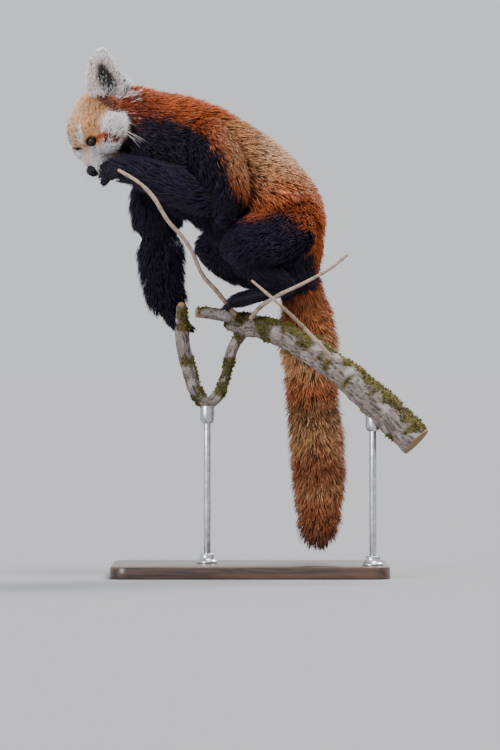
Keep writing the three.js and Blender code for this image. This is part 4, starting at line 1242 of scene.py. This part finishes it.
def claw_pieces():
    """A curved claw at the end of each toe, five to a paw."""
    made = {}
    for name, paw in paws.items():
        parts = []
        for i, (root, way, over, side, length) in enumerate(paw.toes()):
            start = root + way * length * 0.93

            def place(q, start=start, way=way, over=over, side=side, length=length):
                s = (1 - q[:, 2]) / 2
                wide = 0.085 * length * np.sqrt(np.clip(1 - s, 0, 1)) * (1 + 0.2 * (s < 0.2))
                drop = 0.32 * length * s ** 2
                ring = unit(q[:, :2] + 1e-6)
                flat = np.sqrt(np.clip(1 - q[:, 2] ** 2, 0, 1)) ** 0.3
                middle = start + way * (s * length * 0.5 - 1)[:, None] - over * drop[:, None]
                return (middle + side * (ring[:, 0] * wide * flat)[:, None]
                        + over * (ring[:, 1] * wide * 1.3 * flat)[:, None])

            parts.append(ball(f"{name}_claw_{i}", place, 12, 10))
        piece = joined(name + "_claws", parts)
        facing_out(piece)
        soft_shading(piece)
        made[name] = piece
    return made


def whisker_piece():
    draw = np.random.default_rng(77)
    roots, reaches, normals = [], [], []
    for side in (1, -1):
        for row in range(4):
            for k in range(4):
                q = np.array(on_head(56 - 4.5 * k, side * (7 + 2.3 * k), -18 - 4 * row, -1.5))
                way = np.array([0.1 - 0.18 * k, side, -0.5 + 0.22 * (1.5 - row)])
                way = unit(way + draw.normal(0, 0.08, 3))
                roots.append(in_head(q))
                reaches.append(way @ HEAD_AXES)
                normals.append(unit(q - RAY_START) @ HEAD_AXES)
    for k in range(12):
        q = np.array(on_head(*((2, 60, 2), (13, 60, -13))[k % 2], 3)) + draw.normal(0, 2.2, 3)
        roots.append(in_head(q))
        reaches.append(unit((0.9, -0.25, -0.12 - 0.3 * (k % 2)) + draw.normal(0, 0.09, 3)))
        normals.append(unit(q - RAY_START) @ HEAD_AXES)
    roots, reaches, normals = (np.array(v) for v in (roots, reaches, normals))
    n = len(roots)
    side = unit(np.cross(reaches, normals))
    tone = np.tile(linear("#e2dcd6"), (n, 1))
    sag = np.tile((0, 0, 0.22), (n, 1))
    length = draw.uniform(20, 36, n)
    # Painted shade: each whisker darkens towards its root.
    return blades("whiskers", roots, normals, side, reaches, sag, sag * 0, length, np.full(n, 0.42),
                  (tone * 0.6, tone), np.full((n, 2), 0.6), draw, 4, 1.0)


for side_name, side in (("left", 1), ("right", -1)):
    finished(eye_piece("eyeball_" + side_name, side), ["eye_" + side_name], eye_glass)
    finished(lid_piece("lids_" + side_name, side), [], lid_leather)
finished(nose_piece(), ["nose"], nose_leather)
for paw_name, piece in claw_pieces().items():
    finished(piece, [paw_name], claw_horn)
finished(whisker_piece(), ["head"], whisker_hair)


# The perch

BOUGH_ROWS = [
    (-24, 7, 367, 15, 15), (-8, 4, 364, 18, 17), (14, -8, 360, 17, 17), (40, -24, 352, 19, 18),
    (80, -46, 331, 20, 20), (123, -66, 302, 21, 21), (174, -85, 258, 24, 24), (222, -100, 211, 25, 25),
    (238, -104, 195, 25, 25),
]
TOE_BRANCH_ROWS = [
    (-14, -2, 370, 10, 9), (-36, -14, 377, 9.5, 9), (-58, -21, 380, 9, 8.5), (-78, -25, 381, 8, 8),
]
V_BRANCH_ROWS = [
    (-12, 5, 352, 9.5, 9.5), (-24, 5, 332, 9, 9), (-33, 5, 298, 8.5, 8.5), (-44, 5, 266, 8.5, 8.5),
    (-62, 5, 250, 9.5, 9.5), (-78, 5, 266, 10.5, 10.5), (-88, 5, 298, 11.5, 11.5),
    (-96, 6, 330, 11.5, 11.5), (-99, 7, 362, 10.5, 10.5), (-99, 8, 392, 7, 7),
]
TWIG_ROWS = {
    "perch_twig_long": [
        (-22, -14, 378, 4, 4), (-34, -26, 394, 3.8, 3.8), (-50, -44, 414, 3.6, 3.6),
        (-67, -62, 433, 3.5, 3.5), (-86, -86, 473, 3.3, 3.3), (-99, -98, 491, 3.3, 3.3),
        (-117, -110, 511, 3.1, 3.1), (-139, -116, 546, 3.4, 3.4), (-158, -114, 565, 2.9, 2.9),
        (-187, -108, 583, 2.6, 2.6),
    ],
    "perch_twig_rise": [
        (2, -24, 374, 4, 4), (14, -44, 388, 3.4, 3.4), (40, -72, 405, 3.2, 3.2), (76, -88, 422, 2.8, 2.8),
        (116, -96, 444, 2.4, 2.4), (138, -100, 462, 2, 2),
    ],
    "perch_twig_cross": [
        (120, -80, 310, 3.4, 3.4), (104, -96, 330, 3.2, 3.2), (60, -112, 375, 2.8, 2.8),
        (30, -116, 402, 2.5, 2.5), (3, -118, 425, 2.2, 2.2),
    ],
}
BARK = linear("#7d7068")
BARK_DARK = linear("#38302a")
LICHEN = linear("#a39b98")
MOSS = linear("#514a16")
MOSS_LIGHT = linear("#8c7d26")
CUT_WOOD = linear("#a98656")
TWIG_BARK = linear("#a58e7c")


def along_coordinates(form, points, stretch):
    """Points drawn out along a form, so that a pattern made from them runs along it."""
    t, w, _, _ = form.locate(points)
    stations = np.linspace(0, form.last, 400)
    centre = form.frame(stations)[0]
    run = np.concatenate([[0], np.cumsum(np.linalg.norm(np.diff(centre, axis=0), axis=1))])
    s = np.interp(t, stations, run)
    radius = form.frame(t)[4]
    return np.stack([s / stretch, np.cos(w) * radius, np.sin(w) * radius], axis=1), s, run[-1]


def bark_piece(name, rows, segments, rings, relief, mossy, cut_ends=(True, True)):
    """A length of branch with ridged bark, lichen and moss above, painted shade in its furrows and painted
    light on its ridges and upper side. Returns it with its moss cover.
    """
    form = Form(rows)
    piece = tube(name, form, segments=segments, rings=rings, rounded=(not cut_ends[0], not cut_ends[1]),
                 raised=even(-relief * 0.6))
    points, normals = coordinates(piece) / MM, normals_of(piece)
    run, s, whole = along_coordinates(form, points, 3.2)
    ends = smooth(0, 2.5, s) * smooth(whole, whole - 2.5, s) if cut_ends[0] else smooth(whole, whole - 2.5, s)
    bent = run + np.stack([wander(points, 11, 66 + k) for k in range(3)], axis=1) * 1.6
    ridge = 1 - np.abs(wander(bent, 7, 61)) * 2.2
    plates = wander(bent, 15, 62)
    lumps = wander(points, 34, 63)
    height = relief * (ridge * 0.45 + plates * 0.3 + lumps * 0.55)
    points = points + normals * (height * ends)[:, None]
    set_coordinates(piece, points * MM)
    # The furrows are darker, partly the bark's own colour and partly painted shade.
    colour = lay(np.tile(BARK, (len(points), 1)), BARK_DARK, smooth(0.6, -0.6, ridge) * 0.75)
    # Lichen in random patches, laid more on the ridges and the upper side as painted light.
    pale = wander(points, 26, 64) + 0.35 * normals[:, 2] + 0.3 * ridge
    colour = lay(colour, LICHEN, smooth(0.0, 0.9, pale) * 0.7)
    moss = smooth(0.05, 0.55, wander(points, 40, 65) + mossy + 0.55 * normals[:, 2]) * ends
    colour = lay(colour, mix(MOSS, BARK_DARK, 0.35), moss * 0.9)
    rings_of_wood = (np.sin(form.locate(points)[2] * 2.2) * 0.5 + 0.5)[:, None]
    cut = (1 - ends)[:, None]
    colour = mix(colour, mix(CUT_WOOD, CUT_WOOD * 0.6, rings_of_wood), cut)
    paint(piece.data, colour)
    soft_shading(piece)
    return piece, moss


def moss_piece(name, source, cover, count, seed):
    """Short feathery moss over the mossy parts of a branch."""
    draw = np.random.default_rng(seed)
    points = coordinates(source) / MM
    corner, share = sprinkled(source, points, count, draw, cover=cover)
    roots = (points[corner] * share).sum(axis=1)
    normal = unit((normals_of(source)[corner] * share).sum(axis=1))
    side = unit(np.cross(normal, draw.normal(size=(count, 3))))
    reach = unit(normal + draw.normal(0, 0.55, (count, 3)))
    sag = np.cross(side, reach) * draw.normal(0, 0.3, count)[:, None]
    ends = roots + reach * 4
    pull = (gathered(ends, roots, 6, 71) - ends) / 5
    length = draw.uniform(2.2, 5.2, count) * (1 + 0.5 * wander(roots, 16, 72))
    light = smooth(-0.3, 0.6, wander(roots, 12, 73) + draw.normal(0, 0.3, count))
    tone = lay(np.tile(MOSS, (count, 1)), MOSS_LIGHT, light)
    tone = tone * draw.uniform(0.7, 1.25, count)[:, None]
    patches = np.stack([(roots[:, 0] + 120) / 380, (roots[:, 2] - 180) / 240], axis=1)
    # Painted shade: each tuft of moss darkens towards its root.
    return blades(name, roots, normal, side, reach, sag, pull, length, np.full(count, 0.9),
                  (tone * 0.45, tone), patches, draw, 2, 0.6)


def twig_piece(name, rows):
    """A thin smooth twig with joints, small buds and a slight crook."""
    form = Form(rows)
    piece = tube(name, form, segments=18, rings=150, raised=even(-0.35))
    points, normals = coordinates(piece) / MM, normals_of(piece)
    _, s, whole = along_coordinates(form, points, 3)
    joint = np.exp(-(((s + 9) % 34 - 17) / 1.6) ** 2)
    swell = 0.55 * joint + 0.28 * wander(points, 22, 81) + 0.12 * wander(points, 5, 82)
    points = points + normals * swell[:, None]
    set_coordinates(piece, points * MM)
    colour = lay(np.tile(TWIG_BARK, (len(points), 1)), BARK, np.clip(joint * 0.8, 0, 1))
    colour = lay(colour, linear("#7d6a63"), smooth(0.1, 0.6, wander(points, 12, 83)) * 0.6)
    colour = lay(colour, MOSS * 0.9, smooth(0.35, 0.7, wander(points, 30, 84) + 0.3 * smooth(60, 0, s)) * 0.6)
    colour = lay(colour, CUT_WOOD, smooth(whole - 1.5, whole, s))
    paint(piece.data, colour)
    soft_shading(piece)
    return piece


bark = painted_material("bark", {"Roughness": 0.85}, 420, 0.9, 0.0012)
moss_green = coat_material("moss_green", 0.75, 0.1, (0.8, 0.9, 0.4))
twig_bark = painted_material("twig_bark", {"Roughness": 0.6}, 700, 0.45, 0.0006)
BRANCHES = [  # name, rows, points round and along, relief, moss, cut ends, nodes, tufts of moss
    ("bough", BOUGH_ROWS, 96, 230, 3.2, 0.12, (False, True), ["perch_bough"], 9000),
    ("toe_branch", TOE_BRANCH_ROWS, 48, 64, 1.6, 0.0, (False, True), ["perch_toe_branch"], 1200),
    ("v_branch", V_BRANCH_ROWS, 56, 240, 1.9, 0.05, (False, False), ["perch_v_arm", "perch_stub"], 5000),
]
for k, (name, rows, around, along, relief, mossy, cut, nodes_of, tufts) in enumerate(BRANCHES):
    piece, cover = bark_piece(name, rows, around, along, relief, mossy, cut)
    finished(piece, nodes_of, bark)
    finished(moss_piece(name + "_moss", piece, cover, tufts, 300 + k), nodes_of, moss_green)
for name, rows in TWIG_ROWS.items():
    finished(twig_piece(name.replace("perch_", "") + "_bark", rows), [name], twig_bark)


# The stand

STAND_RODS = {"left": (-62, 5, 247), "right": (176, -86, 237)}
BASE = dict(length=400, width=270, height=18, corner=26)


def turned_piece(name, x, y, z, profile, segments=64):
    """A turned solid from its radii and heights, bottom to top."""
    profile = np.array([(0, profile[0][1]), *profile, (0, profile[-1][1])], float)

    def place(q):
        k = np.rint((1 - np.arccos(np.clip(q[:, 2], -1, 1)) / np.pi) * (len(profile) - 1)).astype(int)
        angle = np.arctan2(q[:, 1], q[:, 0])
        radius, height = profile[k].T
        return np.stack([x + radius * np.cos(angle), y + radius * np.sin(angle), z + height], axis=1)

    piece = ball(name, place, segments, len(profile) - 1)
    applied(piece, "BEVEL", width=0.4 * MM, segments=2, limit_method="ANGLE", angle_limit=math.radians(35))
    facing_out(piece)
    soft_shading(piece, 35)
    return piece


def base_piece():
    """The board: a rounded rectangle with its upper and lower edges eased."""
    length, width, height, corner = (BASE[key] for key in ("length", "width", "height", "corner"))
    profile = [(60, 0), (1.5, 0), (0.4, 0.5), (0, 1.5)]
    profile += [(0, height - 3), (0.9, height - 0.9), (3, height), (60, height)]
    inset, level = np.array(profile, float).T
    per_corner = 14

    def place(q):
        k = np.rint((1 - np.arccos(np.clip(q[:, 2], -1, 1)) / np.pi) * (len(profile) + 1)).astype(int)
        closing = (k == 0) | (k == len(profile) + 1)
        k = np.clip(k - 1, 0, len(profile) - 1)
        j = np.rint(np.arctan2(q[:, 1], q[:, 0]) / (2 * np.pi) * 4 * per_corner).astype(int)
        j = j % (4 * per_corner)
        quarter, step = j // per_corner, j % per_corner
        angle = (quarter + step / (per_corner - 1)) * np.pi / 2
        sx, sy = np.sign(np.cos(quarter * np.pi / 2 + 0.5)), np.sign(np.sin(quarter * np.pi / 2 + 0.5))
        x = sx * (length / 2 - corner) + corner * np.cos(angle)
        y = sy * (width / 2 - corner) + corner * np.sin(angle)
        shrink = np.where(closing, 0, 1)
        x = x * (1 - inset[k] * 2 / length) * shrink
        y = y * (1 - inset[k] * 2 / width) * shrink
        return np.stack([x, y, level[k]], axis=1)

    piece = ball("base_board", place, 4 * per_corner, len(profile) + 1)
    facing_out(piece)
    soft_shading(piece, 40)
    return piece


def base_lacquer():
    """Dark stained wood whose grain runs along the board, under satin lacquer."""
    made = Finish("base_lacquer", {"Roughness": 0.38, "Coat Weight": 0.3})
    grain = made.noise(4, 9, stretch=(2.5, 28, 28), Distortion=0.8)
    made.ramp(grain, (0.35, linear("#2a1d15")), (0.68, linear("#5a4131")))
    made.bump(grain, 0.12, 0.0005)
    return made.material


SOCKET = [(15, 0), (15, 3), (14.2, 3.8), (11.5, 6), (10.4, 9), (10, 13.2), (9.4, 14), (5.4, 14)]
SADDLE = [(5.6, 0), (8.2, 0), (8.8, 1), (10.3, 5), (10.5, 8), (10.5, 25)]
SADDLE_DROP = 26  # from the rod's top down to the saddle's foot

satin_steel = plain_material(
    "satin_steel", (0.55, 0.56, 0.58), {"Roughness": 0.28, "Metallic": 1.0}, bump=(2500, 0.08))
finished(base_piece(), ["stand_base"], base_lacquer())
for side_name, (x, y, top) in STAND_RODS.items():
    foot = BASE["height"]
    rod = [(5, 0), (5, 60), (5, (top - foot) * 0.6), (5, top - foot)]
    turned = (("rod", foot, rod), ("socket", foot, SOCKET), ("saddle", top - SADDLE_DROP, SADDLE))
    for kind, z, profile in turned:
        piece = turned_piece(f"{kind}_{side_name}", x, y, z, profile)
        finished(piece, [f"stand_{kind}_{side_name}"], satin_steel)


# Camera, lights and floor

PIXELS_PER_MM = 0.69
PAGE_HEIGHT = 750
CAMERA_DISTANCE = 7.0
CAMERA_HEIGHT = 0.291
SENSOR = (24, 36)
FLOOR_WIDTH = 1200
SUN_ANGLE = 0.45
LAMP_AIM = (-0.02, 0, 0.45)
LAMPS = {  # place, strength and colour
    "back_light": ((0.9, 1.4, 2.3), 4.8, (1.0, 0.96, 0.9)),
    "top_light": ((0.4, -0.6, 2.6), 2.6, (1.0, 0.98, 0.95)),
    "front_light": ((-1.9, -2.3, 1.4), 2.2, (0.96, 0.97, 1.0)),
}


def placed(name, data, place, turn):
    holder = bpy.data.objects.new(name, data)
    holder.location, holder.rotation_euler = place, turn
    bpy.context.scene.collection.objects.link(holder)
    return holder


def camera():
    data = bpy.data.cameras.new("camera")
    data.sensor_fit = "VERTICAL"
    data.sensor_width, data.sensor_height = SENSOR
    data.lens = SENSOR[1] * CAMERA_DISTANCE / (PAGE_HEIGHT / PIXELS_PER_MM * MM)
    data.clip_end = 1000
    place = (0, -CAMERA_DISTANCE, CAMERA_HEIGHT)
    bpy.context.scene.camera = placed("camera", data, place, (math.pi / 2, 0, 0))


def lamp(name, place, strength, colour):
    """A far, broad light whose rays come evenly from one side."""
    data = bpy.data.lights.new(name, "SUN")
    data.angle, data.energy, data.color = SUN_ANGLE, strength, colour
    way = np.array(LAMP_AIM, float) - np.array(place, float)
    flat = math.hypot(way[0], way[1])
    placed(name, data, place, (math.atan2(flat, -way[2]), 0, math.atan2(way[1], way[0]) - math.pi / 2))


def studio():
    for name, values in LAMPS.items():
        lamp(name, *values)
    world = bpy.data.worlds.new("studio")
    world.use_nodes = True
    sky = world.node_tree.nodes["Background"].inputs
    sky["Color"].default_value = (0.93, 0.95, 1.0, 1)
    sky["Strength"].default_value = 0.85
    bpy.context.scene.world = world


def floor():
    """Pale paper that lies flat and reaches far on every side."""
    bpy.ops.object.select_all(action="DESELECT")
    bpy.ops.mesh.primitive_plane_add(size=FLOOR_WIDTH)
    piece = bpy.context.object
    piece.name = "floor"
    paper = Finish("floor_paper", {"Base Color": (0.262, 0.267, 0.285, 1), "Roughness": 0.95,
                                   "Specular IOR Level": 0.1})
    piece.data.materials.append(paper.material)


camera()
studio()
floor()
